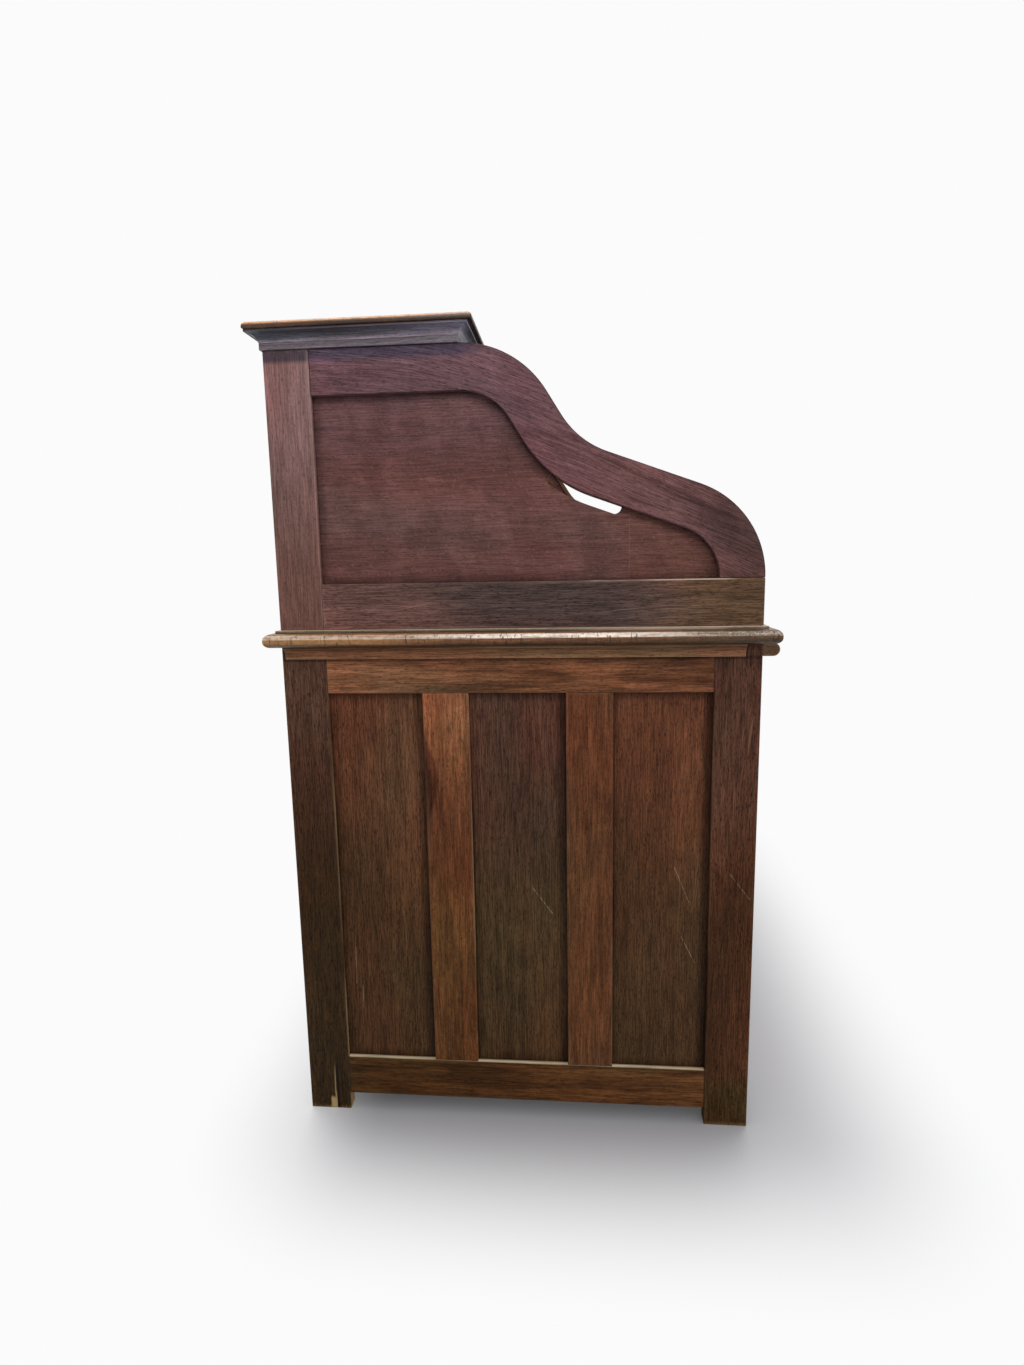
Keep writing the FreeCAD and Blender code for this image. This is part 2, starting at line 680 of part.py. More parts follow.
# The top: a fascia frame on the case, a cove moulding mitred round it, and the top board.
FASCIA_X = "(base_width / 2 + fascia_overhang)"
FASCIA_FRONT = "(base_depth / 2 - top_board_front + fascia_setback)"
FASCIA_BACK = "(base_depth / 2 + fascia_overhang)"
FASCIA_DEPTH = f"({FASCIA_BACK} - {FASCIA_FRONT})"
FASCIA_SPAN = f"(2 * ({FASCIA_X} - fascia_width))"
fascia = [
    board("left_fascia", f"-{FASCIA_X}", FASCIA_FRONT, "case_top",
          "fascia_width", FASCIA_DEPTH, "fascia_height"),
    board("right_fascia", f"{FASCIA_X} - fascia_width", FASCIA_FRONT, "case_top",
          "fascia_width", FASCIA_DEPTH, "fascia_height"),
    board("front_fascia", f"-{FASCIA_X} + fascia_width", FASCIA_FRONT, "case_top",
          FASCIA_SPAN, "fascia_width", "fascia_height"),
    board("back_fascia", f"-{FASCIA_X} + fascia_width", f"{FASCIA_BACK} - fascia_width", "case_top",
          FASCIA_SPAN, "fascia_width", "fascia_height"),
]
node("top_fascia", compound("top_fascia", fascia))


def top_moulding(name, length, turn, x, y):
    """A cove strip with mitred ends, as wide as the fascia below it and its own reach beyond."""
    reach = size("moulding_reach")
    body = size("fascia_width")
    height = size("moulding_height")
    lip = size("moulding_lip")
    rise = height - lip
    width = reach + body
    arc_middle = point(-reach * (1 - DIAGONAL), rise * DIAGONAL)
    edges = lines(point(-reach, rise), point(-reach, height), point(body, height), point(body, 0), point(0, 0))
    edges.append(Part.Arc(point(0, 0), arc_middle, point(-reach, rise)))
    square_strip = profile(f"{name}_square", "XZ_Plane", edges, length)
    doc.recompute()
    run = square_strip.Shape.BoundBox.YLength
    plan = lines(
        point(-reach, 0), point(-reach, -run), point(body, width - run), point(body, -width), point(-reach, 0))
    strip = doc.addObject("Part::Common", name)
    strip.Base = square_strip
    strip.Tool = profile(f"{name}_mitres", "XY_Plane", plan, "moulding_height")
    strip.Placement = FreeCAD.Placement(FreeCAD.Vector(), FreeCAD.Rotation(turn, 0, 0))
    bind(strip, "Placement.Base.x", x)
    bind(strip, "Placement.Base.y", y)
    bind(strip, "Placement.Base.z", "case_top + fascia_height")
    return strip


SIDE_LENGTH = f"{FASCIA_DEPTH} + 2 * moulding_reach"
FRONT_LENGTH = f"2 * ({FASCIA_X} + moulding_reach)"
mouldings = [
    top_moulding("left_moulding", SIDE_LENGTH, 0, f"-{FASCIA_X}", f"{FASCIA_BACK} + moulding_reach"),
    top_moulding("right_moulding", SIDE_LENGTH, 180, FASCIA_X, f"{FASCIA_FRONT} - moulding_reach"),
    top_moulding("back_moulding", FRONT_LENGTH, -90, f"{FASCIA_X} + moulding_reach", FASCIA_BACK),
    top_moulding("front_moulding", FRONT_LENGTH, 90, f"-{FASCIA_X} - moulding_reach", FASCIA_FRONT),
]
node("top_moulding", compound("top_moulding", mouldings))
plain_board = board(
    "top_board_plain", "-base_width / 2 - top_board_end_overhang", "base_depth / 2 - top_board_front",
    "case_top + fascia_height + moulding_height", "base_width + 2 * top_board_end_overhang",
    "top_board_front + top_board_back_overhang", "top_board_thickness")
board_edge = min(size("top_board_edge"), ROUND_LIMIT * size("top_board_thickness"))
board_nose = min(size("top_board_nose"), 2 * ROUND_LIMIT * size("top_board_thickness") - board_edge)
node("top_board", rounded("top_board", plain_board, board_nose, board_edge))

# Pigeonholes: three shelves, upright partitions between them and a thin back.
HOLES_WIDTH = "(2 * (inner_face - track_depth - pigeonhole_track_gap))"
HOLES_LEFT = f"(-{HOLES_WIDTH} / 2)"
HOLES_BACK = "(base_depth / 2 - curtain_back_gap - track_play - track_width - pigeonhole_track_gap)"
HOLES_FRONT = f"({HOLES_BACK} - pigeonhole_back_thickness - pigeonhole_depth)"
LOWER_FLOOR = "(desk_top + pigeonhole_board)"
UPPER_FLOOR = f"({LOWER_FLOOR} + pigeonhole_lower_height + pigeonhole_board)"
UPPER_HEIGHT = "(pigeonhole_height - pigeonhole_lower_height - 3 * pigeonhole_board)"
shelves = []
for name, z in (("low", "desk_top"), ("middle", f"{UPPER_FLOOR} - pigeonhole_board"),
                ("high", "desk_top + pigeonhole_height - pigeonhole_board")):
    shelves.append(board(
        f"{name}_shelf", HOLES_LEFT, HOLES_FRONT, z, HOLES_WIDTH, "pigeonhole_depth", "pigeonhole_board"))
node("pigeonhole_shelves", compound("pigeonhole_shelves", shelves))
partitions = []
for row, bays, floor, height in (("lower", LOWER_BAYS, LOWER_FLOOR, "pigeonhole_lower_height"),
                                 ("upper", UPPER_BAYS, UPPER_FLOOR, UPPER_HEIGHT)):
    for index in range(bays + 1):
        partitions.append(board(
            f"{row}_partition_{index}", f"{HOLES_LEFT} + {index} * ({HOLES_WIDTH} - pigeonhole_board) / {bays}",
            HOLES_FRONT, floor, "pigeonhole_board", "pigeonhole_depth", height))
node("pigeonhole_partitions", compound("pigeonhole_partitions", partitions))
node("pigeonhole_back", board(
    "pigeonhole_back", HOLES_LEFT, f"{HOLES_FRONT} + pigeonhole_depth", "desk_top",
    HOLES_WIDTH, "pigeonhole_back_thickness", "pigeonhole_height"))

# The curtain's way, along the canvas at the slats' backs, from the lead rail's foot when it is shut.
way = [edge.toShape() for edge in curtain_curve(size("curtain_inset"), desk_top + size("lead_gap"))]


def canvas_point(distance):
    for edge in way:
        if distance <= edge.Length:
            return edge.valueAt(edge.getParameterByLength(distance))
        distance -= edge.Length
    return way[-1].valueAt(way[-1].LastParameter)


def curtain_place(start, end):
    """Lays local Y along the canvas from start to end, with local Z pointing out of the desk."""
    first = canvas_point(start)
    chord = canvas_point(end) - first
    turn = FreeCAD.Rotation(FreeCAD.Vector(1, 0, 0), math.degrees(math.atan2(chord.y, chord.x)))
    return FreeCAD.Placement(FreeCAD.Vector(0, first.x, first.y), turn)


# The lead rail, at the top of the S-curve, with two finger lifts outside and a lock inside.
lead_start = size("curtain_travel")
lead_place = curtain_place(lead_start, lead_start + size("lead_height"))
lead_height = size("lead_height")
lead_thickness = size("lead_thickness")
lead_round = size("lead_round")
lead_length = "2 * (inner_face - track_depth - slat_end_gap)"
chamfered = lines(
    point(0, 0), point(0, lead_thickness - lead_round), point(lead_round, lead_thickness),
    point(lead_height - lead_round, lead_thickness), point(lead_height, lead_thickness - lead_round),
    point(lead_height, 0), point(0, 0))
lead = profile("tambour_lead_rail", "YZ_Plane", chamfered, lead_length)
lead.Placement = lead_place
bind(lead, "Placement.Base.x", "-inner_face + track_depth + slat_end_gap")
node("tambour_lead_rail", lead)


def on_lead(thing, x, along_rail, out):
    """Sets a fitting on the lead rail, at a distance from its foot and from its back face."""
    thing.Placement = lead_place * FreeCAD.Placement(FreeCAD.Vector(x, along_rail, out), FreeCAD.Rotation())
    return thing


lifts = []
lift_reach = size("lift_reach")
lift_height = size("lift_height")
for name, middle in (("left", -size("lift_spacing") / 2), ("right", size("lift_spacing") / 2)):
    lift_edges = lines(point(lift_height, 0), point(0, 0), point(0, lift_reach))
    lift_curve = point(lift_height * DIAGONAL, lift_reach * DIAGONAL)
    lift_edges.append(Part.Arc(point(0, lift_reach), lift_curve, point(lift_height, 0)))
    lift = profile(f"{name}_lift", "YZ_Plane", lift_edges, "lift_length")
    lifts.append(on_lead(
        lift, middle - size("lift_length") / 2, (lead_height - lift_height) / 2, lead_thickness))
node("tambour_lifts", compound("tambour_lifts", lifts))
lock_case = doc.addObject("Part::Box", "lock_case")
bind(lock_case, "Length", "lock_length")
bind(lock_case, "Width", "lock_height")
bind(lock_case, "Height", "lock_thickness")
on_lead(lock_case, -size("lock_length") / 2, (lead_height - size("lock_height")) / 2, -size("lock_thickness"))
escutcheon = doc.addObject("Part::Cylinder", "escutcheon")
bind(escutcheon, "Radius", "escutcheon_radius")
bind(escutcheon, "Height", "escutcheon_thickness")
on_lead(escutcheon, 0, lead_height / 2, lead_thickness)
node("tambour_lock", compound("tambour_lock", [lock_case, escutcheon]))

# Slats: round-faced strips, each laid along the canvas on its own stretch of the way.
slat_width = size("slat_pitch") - size("slat_gap")
slat_edge = size("slat_edge")
slat_outline = lines(point(0, slat_edge), point(0, 0), point(slat_width, 0), point(slat_width, slat_edge))
slat_outline.append(Part.Arc(
    point(slat_width, slat_edge), point(slat_width / 2, size("slat_thickness")), point(0, slat_edge)))
slat_start = lead_start + lead_height + size("slat_gap") / 2
slat_index = 0
for number, count in enumerate(SLAT_GROUPS, start=1):
    slats = []
    for step in range(count):
        start = slat_start + slat_index * size("slat_pitch")
        slat = profile(f"slat_{slat_index}", "YZ_Plane", slat_outline, "2 * (inner_face - slat_end_gap)")
        slat.Placement = curtain_place(start, start + slat_width)
        bind(slat, "Placement.Base.x", "-inner_face + slat_end_gap")
        slats.append(slat)
        slat_index += 1
    name = f"tambour_slats_{number:02d}"
    node(name, compound(name, slats))

# Nothing is written unless every object is sound.
doc.recompute()
for thing in doc.Objects:
    if "Invalid" in thing.State or "Error" in thing.State:
        raise RuntimeError(f"{thing.Name} failed to build")
for thing in nodes:
    if thing.Shape.isNull() or not thing.Shape.isValid():
        raise RuntimeError(f"{thing.Label} has no valid shape")
os.makedirs("parts", exist_ok=True)
for thing in nodes:
    thing.Shape.exportStep(f"parts/{thing.Label}.step")
print(len(nodes), "nodes, overall", doc.getObject("top_board").Shape.BoundBox)
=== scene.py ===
import json
import math
import random

import bmesh
import bpy
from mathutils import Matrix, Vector, bvhtree

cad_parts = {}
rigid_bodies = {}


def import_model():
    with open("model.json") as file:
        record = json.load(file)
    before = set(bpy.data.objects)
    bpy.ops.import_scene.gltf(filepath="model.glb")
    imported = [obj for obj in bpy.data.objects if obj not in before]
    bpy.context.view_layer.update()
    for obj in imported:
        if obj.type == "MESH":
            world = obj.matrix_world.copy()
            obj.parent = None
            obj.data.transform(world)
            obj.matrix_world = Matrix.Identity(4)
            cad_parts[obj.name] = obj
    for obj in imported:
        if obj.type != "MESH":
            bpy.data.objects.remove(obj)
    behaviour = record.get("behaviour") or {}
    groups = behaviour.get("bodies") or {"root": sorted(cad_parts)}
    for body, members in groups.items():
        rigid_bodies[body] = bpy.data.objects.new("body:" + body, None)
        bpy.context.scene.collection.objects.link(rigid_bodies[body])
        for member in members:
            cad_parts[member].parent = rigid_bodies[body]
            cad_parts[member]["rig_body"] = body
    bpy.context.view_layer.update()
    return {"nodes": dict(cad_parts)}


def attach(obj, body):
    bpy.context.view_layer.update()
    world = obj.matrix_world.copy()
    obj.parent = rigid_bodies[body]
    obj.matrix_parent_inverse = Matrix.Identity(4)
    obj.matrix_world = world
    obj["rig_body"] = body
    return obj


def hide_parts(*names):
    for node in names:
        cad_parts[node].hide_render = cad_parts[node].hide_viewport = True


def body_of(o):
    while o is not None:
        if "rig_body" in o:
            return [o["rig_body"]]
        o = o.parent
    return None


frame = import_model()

# The view is the photograph's: about a metre from the desk's left end, level with the writing space,
# turned a little towards the back and tipped down.
film_side, focal_pixels, picture_side = 36, 745, 1365
photo_lens = bpy.data.cameras.new("photo_camera")
photo_lens.sensor_width = film_side
photo_lens.lens = film_side * focal_pixels / picture_side
photo_camera = bpy.data.objects.new("photo_camera", photo_lens)
photo_camera.location = (-1.6562, -0.0869, 0.8796)
photo_camera.rotation_euler = [math.radians(turn) for turn in (80.914, 1.025, -85.182)]
bpy.context.collection.objects.link(photo_camera)
bpy.context.scene.camera = photo_camera
bpy.context.scene.view_settings.view_transform = "Standard"

# The studio: a wide pale floor that runs into a white background, with a soft shadow about the desk's foot.
# A broad lamp hangs over the viewer and another stands by the desk's front corner; they light the desk
# alone. A third, high behind, lights the floor.
def put(tree, kind, inputs, **settings):
    """A new node of that kind. Each input, by name or number, is joined to a socket or set to a value."""
    made = tree.nodes.new("ShaderNode" + kind)
    for setting, value in settings.items():
        setattr(made, setting, value)
    for place, value in inputs.items():
        if isinstance(value, bpy.types.NodeSocket):
            tree.links.new(value, made.inputs[place])
        else:
            made.inputs[place].default_value = value
    return made


def number(tree, what, *values):
    """The result of one sum on values or sockets."""
    return put(tree, "Math", dict(enumerate(values)), operation=what).outputs[0]


def times(tree, *values):
    """All the values or sockets multiplied together."""
    whole = values[0]
    for value in values[1:]:
        whole = number(tree, "MULTIPLY", whole, value)
    return whole


def apart(tree, what, *values):
    """The result of one sum on vectors or sockets, for each axis apart."""
    return put(tree, "VectorMath", dict(enumerate(values)), operation=what).outputs["Vector"]


def spread(tree, value, low, high, first=0.0, last=1.0):
    """A value from low to high, brought smoothly to first to last."""
    return put(tree, "MapRange", {0: value, 1: low, 2: high, 3: first, 4: last},
               interpolation_type="SMOOTHSTEP").outputs[0]


def tone(text):
    """The linear colour of a six-figure tone."""
    parts = [int(text[i:i + 2], 16) / 255 for i in (0, 2, 4)]
    return tuple(c / 12.92 if c <= 0.04045 else ((c + 0.055) / 1.055) ** 2.4 for c in parts) + (1.0,)


def seen_white(tree):
    """1 for the rays that show the background: from the camera, off gloss and through glass."""
    path = put(tree, "LightPath", {})
    looks = number(tree, "MAXIMUM", path.outputs["Is Camera Ray"], path.outputs["Is Glossy Ray"])
    return number(tree, "MAXIMUM", looks, path.outputs["Is Transmission Ray"])


background_white = tone("fbfbfb")
surroundings = bpy.data.worlds.new("studio_white")
surroundings.use_nodes = True
air = surroundings.node_tree
air.nodes.clear()
white = put(air, "Background", {"Color": background_white, "Strength": 1.0})
fill = put(air, "Background", {"Color": tone("f6f7ff"), "Strength": 0.42})
both = put(air, "MixShader", {0: seen_white(air), 1: fill.outputs[0], 2: white.outputs[0]})
put(air, "OutputWorld", {"Surface": both.outputs[0]})
bpy.context.scene.world = surroundings

floor_reach = 14
floor_shape = bmesh.new()
bmesh.ops.create_grid(floor_shape, x_segments=2, y_segments=2, size=floor_reach)
floor_mesh = bpy.data.meshes.new("studio_floor")
floor_shape.to_mesh(floor_mesh)
floor_shape.free()
studio_floor = bpy.data.objects.new("studio_floor", floor_mesh)
bpy.context.collection.objects.link(studio_floor)
pale = bpy.data.materials.new("pale_floor")
pale.use_nodes = True
ground = pale.node_tree
ground.nodes.clear()
shadow_shift, shadow_half, shadow_fade = (0.0, 0.10, 0.0), (0.585, 0.32, 0.0), 0.33
under_desk = apart(ground, "ADD", put(ground, "TexCoord", {}).outputs["Object"], shadow_shift)
beside = apart(ground, "SUBTRACT", apart(ground, "ABSOLUTE", under_desk), shadow_half)
beside = apart(ground, "MAXIMUM", beside, (0.0, 0.0, 0.0))
reach = put(ground, "VectorMath", {0: beside}, operation="LENGTH").outputs["Value"]
shown = times(ground, spread(ground, reach, 0.0, shadow_fade), seen_white(ground))
lit = put(ground, "BsdfDiffuse", {"Color": tone("ececec")})
far = put(ground, "Emission", {"Color": background_white, "Strength": 1.0})
glow = put(ground, "Emission", {"Color": tone("ffffff"), "Strength": times(ground, seen_white(ground), 0.04)})
near = put(ground, "AddShader", {0: lit.outputs[0], 1: glow.outputs[0]})
whole = put(ground, "MixShader", {0: shown, 1: near.outputs[0], 2: far.outputs[0]})
put(ground, "OutputMaterial", {"Surface": whole.outputs[0]})
floor_mesh.materials.append(pale)

desk = bpy.data.collections.new("desk")
bpy.context.scene.collection.children.link(desk)


def hang(name, kind, strength, place, target, **settings):
    """A lamp of that kind at a place, turned to a target."""
    lamp = bpy.data.lights.new(name, kind)
    lamp.energy = strength
    for setting, value in settings.items():
        setattr(lamp, setting, value)
    hung = bpy.data.objects.new(name, lamp)
    hung.location = place
    hung.rotation_euler = (Vector(place) - Vector(target)).to_track_quat("Z", "Y").to_euler()
    bpy.context.scene.collection.objects.link(hung)
    return hung


over_viewer = hang("over_viewer", "AREA", 17, (-1.75, 0.1, 2.35), (-0.585, 0, 0.85), size=0.7,
                   color=(1, 0.96, 0.92))
over_viewer.light_linking.receiver_collection = desk
by_front = hang("by_front", "SUN", 1.3, (-2.0, -2.6, 1.3), (-0.585, 0, 0.6), angle=math.radians(16))
by_front.light_linking.receiver_collection = desk
hang("high_behind", "SUN", 1.9, (0.95, 0.35, 3.0), (0, 0, 0), angle=math.radians(42))


# The end stiles are the four posts of the base: oak, 66 mm wide and 22 mm thick, grooved for the panels.
# They run on down past the bottom rails as feet, rubbed pale at the floor. The left back one has split.
def closed_solids(shape):
    """The corners of each closed solid; the faces of a solid follow one another in the mesh."""
    open_edges, faces, closed = set(), [], []
    for face in shape.faces:
        faces.append(face)
        for loop in face.loops:
            here = tuple(round(c, 6) for c in loop.vert.co)
            there = tuple(round(c, 6) for c in loop.link_loop_next.vert.co)
            if (there, here) in open_edges:
                open_edges.remove((there, here))
            else:
                open_edges.add((here, there))
        if not open_edges:
            closed.append(list(dict.fromkeys(v for f in faces for v in f.verts)))
            faces = []
    return closed


def single_boards(shape):
    """The lowest and highest corner and all the corners of each board, in the order of their places."""
    marked, found = set(), []
    for start in shape.verts:
        if start in marked:
            continue
        board, reach = set(), [start]
        while reach:
            corner = reach.pop()
            if corner not in board:
                board.add(corner)
                reach.extend(e.other_vert(corner) for e in corner.link_edges)
        marked |= board
        low = Vector([min(v.co[i] for v in board) for i in range(3)])
        high = Vector([max(v.co[i] for v in board) for i in range(3)])
        found.append((low, high, board))
    return sorted(found, key=lambda one: [round(c, 4) for c in (*one[0], *one[1])])


def sliced(shape, place, square):
    """The edges of a straight cut through the whole shape, at a place and square to a direction."""
    everything = shape.verts[:] + shape.edges[:] + shape.faces[:]
    cut = bmesh.ops.bisect_plane(shape, geom=everything, plane_co=place, plane_no=square)["geom_cut"]
    return [e for e in cut if isinstance(e, bmesh.types.BMEdge)]


def boards(node, ease, grain=None, cuts=(), slices=()):
    """A piece with the boards of a node, merged, their edges eased, and marked for the run of the grain.

    The cuts saw a board in two. The slices only divide its faces, so that a mark can follow them.
    """
    same_place, flat, arris, crease = 1e-6, math.radians(1), math.radians(30), math.radians(22)
    shape = bmesh.new()
    shape.from_mesh(frame["nodes"][node].data)
    run = shape.verts.layers.float_vector.new("grain")
    inward = shape.verts.layers.float_vector.new("inward")
    half = shape.verts.layers.float_vector.new("half")
    tint = shape.verts.layers.float.new("tint")
    rubbed = shape.faces.layers.float.new("rubbed")
    for corners in closed_solids(shape):
        bmesh.ops.remove_doubles(shape, verts=corners, dist=same_place)
    bmesh.ops.dissolve_limit(shape, angle_limit=flat, verts=shape.verts, edges=shape.edges)
    for place, square in cuts:
        parted = bmesh.ops.split_edges(shape, edges=sliced(shape, place, square))["edges"]
        bmesh.ops.holes_fill(shape, edges=parted, sides=0)
    sharp = [e for e in shape.edges if e.is_manifold and e.calc_face_angle(0) > arris]
    eased = bmesh.ops.bevel(shape, geom=sharp, offset=ease, offset_type="OFFSET", affect="EDGES", segments=2,
                            profile=0.5, material=-1, clamp_overlap=True)
    for face in eased["faces"]:
        face[rubbed] = 1.0
    for place, square in slices:
        sliced(shape, place, square)
    for count, (low, high, board) in enumerate(single_boards(shape)):
        thin, wide, long = sorted(range(3), key=lambda i: high[i] - low[i])
        seeds = random.Random(f"{node} {count}")
        shift = Vector([seeds.uniform(0, 9) for i in range(3)])
        shade = seeds.uniform(-1, 1)
        middle = (low + high) / 2
        for corner in board:
            place = corner.co - middle
            if grain is None:
                corner[run] = Vector([place[i] for i in (wide, thin, long)]) + shift
                corner[inward] = [place[i] for i in (wide, thin, long)]
                corner[half] = [(high[i] - low[i]) / 2 for i in (wide, thin, long)]
            else:
                corner[run] = Vector(grain(corner.co)) + shift
                corner[half] = (1, 0, 1)
            corner[tint] = shade
    mesh = bpy.data.meshes.new("oak_" + node)
    shape.to_mesh(mesh)
    shape.free()
    mesh.shade_smooth()
    mesh.set_sharp_from_angle(angle=crease)
    piece = bpy.data.objects.new("oak_" + node, mesh)
    desk.objects.link(piece)
    return piece


def fit(piece, finish, node):
    """The piece takes a finish, stands for that node, and goes with the body that carries it."""
    piece.data.materials.append(finish)
    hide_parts(node)
    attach(piece, body_of(frame["nodes"][node])[0])


def below(tree, value, low, high, most=1.0):
    """The most while a value is under low, then smoothly down to nothing at high."""
    return spread(tree, value, low, high, most, 0.0)


def within(tree, value, low, high, soft):
    """1 where a value lies from low to high, with soft ends."""
    return times(tree, spread(tree, value, low - soft, low), below(tree, value, high, high + soft))


def wavered(tree, place, noise, reach):
    """A place that a noise moves to and fro, over that reach at most."""
    return number(tree, "MULTIPLY_ADD", number(tree, "SUBTRACT", noise, 0.5), reach, place)


def mixed(tree, share, first, second, way="MIX"):
    """Two colours mixed by a share."""
    return put(tree, "Mix", {0: share, 6: first, 7: second}, data_type="RGBA", blend_type=way).outputs[2]


def shaded(tree, share, colour, factors):
    """A colour with its red, green and blue multiplied by factors, as far as the share says."""
    return mixed(tree, share, colour, (*factors, 1.0), "MULTIPLY")


def attribute(tree, name, part="Fac"):
    """A value that the corners or faces of a piece carry under that name."""
    return put(tree, "Attribute", {}, attribute_name=name).outputs[part]


def cloud(tree, place, scale, detail=2.0, rough=0.5, twist=0.0):
    """Soft noise stretched by a scale for each axis."""
    at = put(tree, "Mapping", {"Vector": place, "Scale": scale}).outputs[0]
    return put(tree, "TexNoise", {"Vector": at, "Scale": 1.0, "Detail": detail, "Roughness": rough,
                                  "Distortion": twist}).outputs[0]


oak_figure = bpy.data.node_groups.new("oak_figure", "ShaderNodeTree")
scratch_lean, ray_slant = (0.0, 0.09, 0.0), (0.0, 0.5, 0.0)
saw = attribute(oak_figure, "grain", "Vector")
lean = put(oak_figure, "Mapping", {"Vector": saw, "Rotation": scratch_lean}).outputs[0]
slant = put(oak_figure, "Mapping", {"Vector": saw, "Rotation": ray_slant}).outputs[0]
scraped = spread(oak_figure, cloud(oak_figure, saw, (9, 9, 4), 1), 0.55, 0.68)
hairlines = spread(oak_figure, cloud(oak_figure, lean, (420, 420, 6), 0), 0.76, 0.79)
inside = apart(oak_figure, "ABSOLUTE", attribute(oak_figure, "inward", "Vector"))
gap = apart(oak_figure, "SUBTRACT", attribute(oak_figure, "half", "Vector"), inside)
gap = put(oak_figure, "SeparateXYZ", {0: gap}).outputs
narrow = number(oak_figure, "MINIMUM", gap[0], gap[1])
broad = number(oak_figure, "MAXIMUM", gap[0], gap[1])
place = put(oak_figure, "SeparateXYZ", {0: put(oak_figure, "TexCoord", {}).outputs["Object"]}).outputs
facing = put(oak_figure, "NewGeometry", {}).outputs["True Normal"]
facing = put(oak_figure, "SeparateXYZ", {0: facing}).outputs
figure = {
    "Drift": cloud(oak_figure, saw, (8, 8, 2.2), 3, 0.55, 0.4),
    "Streak": cloud(oak_figure, saw, (95, 95, 4.5), 4, 0.62, 0.2),
    "Ribbon": cloud(oak_figure, slant, (20, 20, 34), 3, 0.55, 0.3),
    "Hair": cloud(oak_figure, saw, (640, 640, 24), 3, 0.6),
    "Patina": cloud(oak_figure, saw, (7, 7, 2.4), 2, 0.5, 0.3),
    "Pore": spread(oak_figure, cloud(oak_figure, saw, (1200, 1200, 130), 1), 0.54, 0.68),
    "Fleck": spread(oak_figure, cloud(oak_figure, slant, (170, 170, 420), 1), 0.62, 0.74),
    "Scratch": times(oak_figure, hairlines, scraped),
    "Edge": number(oak_figure, "MAXIMUM", narrow, number(oak_figure, "MINIMUM", broad, gap[2])),
    "Tint": attribute(oak_figure, "tint"),
    "Rubbed": attribute(oak_figure, "rubbed"),
    "X": place[0],
    "Y": place[1],
    "Z": place[2],
    "Front": times(oak_figure, facing[1], -1.0),
    "Up": facing[2],
}
for part in figure:
    oak_figure.interface.new_socket(part, in_out="OUTPUT", socket_type="NodeSocketFloat")
figure_end = oak_figure.nodes.new("NodeGroupOutput")
for socket, value in zip(figure_end.inputs, figure.values()):
    oak_figure.links.new(value, socket)


def stained_oak(name, stain, worn, marks=(), wear=0.5, lines=0.5, ribbon=0.15, rough=0.46, shine=0.08,
                coat=0.0, bite=1.0):
    """Stained oak of that tone, with streaks, pores, rays, worn edges, scratches and its own marks.

    Wear is how bare its edges are, lines and ribbon how strong its streaks and rays are, rough, shine and
    coat what its polish is like, and bite how dark the stain has gone in its pores.
    """
    made = bpy.data.materials.new(name)
    made.use_nodes = True
    tree = made.node_tree
    tree.nodes.clear()
    group = tree.nodes.new("ShaderNodeGroup")
    group.node_tree = oak_figure
    wood = group.outputs
    middle, bare_wood = tone(stain), tone(worn)
    dark = [c * s for c, s in zip(middle, (0.60, 0.57, 0.55, 1.0))]
    light = [c * s for c, s in zip(middle, (1.42, 1.46, 1.5, 1.0))]
    drift, half_band, hair = 0.55, 0.17, 0.36 * bite
    depth = number(tree, "MULTIPLY_ADD", wood["Streak"], lines, times(tree, wood["Drift"], drift))
    depth = number(tree, "MULTIPLY_ADD", wood["Ribbon"], ribbon, depth)
    depth = number(tree, "MULTIPLY_ADD", wood["Tint"], 0.025, depth)
    centre = (drift + lines + ribbon) / 2
    colour = mixed(tree, spread(tree, depth, centre - half_band, centre), dark, middle)
    colour = mixed(tree, spread(tree, depth, centre, centre + half_band), colour, light)
    redder, greener = (1.11, 0.97, 0.91, 1.0), (0.90, 1.02, 0.98, 1.0)
    hue = mixed(tree, spread(tree, wood["Patina"], 0.36, 0.64), redder, greener)
    colour = mixed(tree, 1.0, colour, hue, "MULTIPLY")
    fine = spread(tree, wood["Hair"], 0.32, 0.68, 1 - hair, 1 + hair)
    colour = mixed(tree, 1.0, colour, fine, "MULTIPLY")
    colour = shaded(tree, times(tree, wood["Pore"], 0.7 * bite), colour, (0.3, 0.27, 0.25))
    colour = mixed(tree, times(tree, wood["Fleck"], 0.4 * ribbon), colour, bare_wood)
    for mark in marks:
        colour = mark(tree, wood, colour)
    ragged = wavered(tree, wood["Edge"], wood["Streak"], 0.02)
    bare = times(tree, below(tree, ragged, 0.0, 0.004, 0.5), wear)
    bare = number(tree, "MAXIMUM", bare, times(tree, wood["Rubbed"], 0.5 * wear))
    bare = times(tree, bare, spread(tree, wood["Drift"], 0.38, 0.64, 0.1, 1.0))
    colour = mixed(tree, bare, colour, bare_wood)
    colour = mixed(tree, times(tree, wood["Scratch"], 0.3), colour, bare_wood)
    polish = spread(tree, wood["Drift"], 0.3, 0.7, rough, rough + 0.14)
    dull = number(tree, "MULTIPLY_ADD", wood["Pore"], 0.2, polish)
    height = number(tree, "MULTIPLY_ADD", wood["Pore"], -1.0, times(tree, wood["Hair"], 0.6))
    bump = put(tree, "Bump", {"Strength": 0.45, "Distance": 0.0004, "Height": height}).outputs[0]
    surface = put(tree, "BsdfPrincipled", {"Base Color": colour, "Roughness": dull, "Normal": bump,
                                           "Coat Weight": coat, "Coat Roughness": 0.25,
                                           "Specular IOR Level": shine})
    put(tree, "OutputMaterial", {"Surface": surface.outputs[0]})
    return made


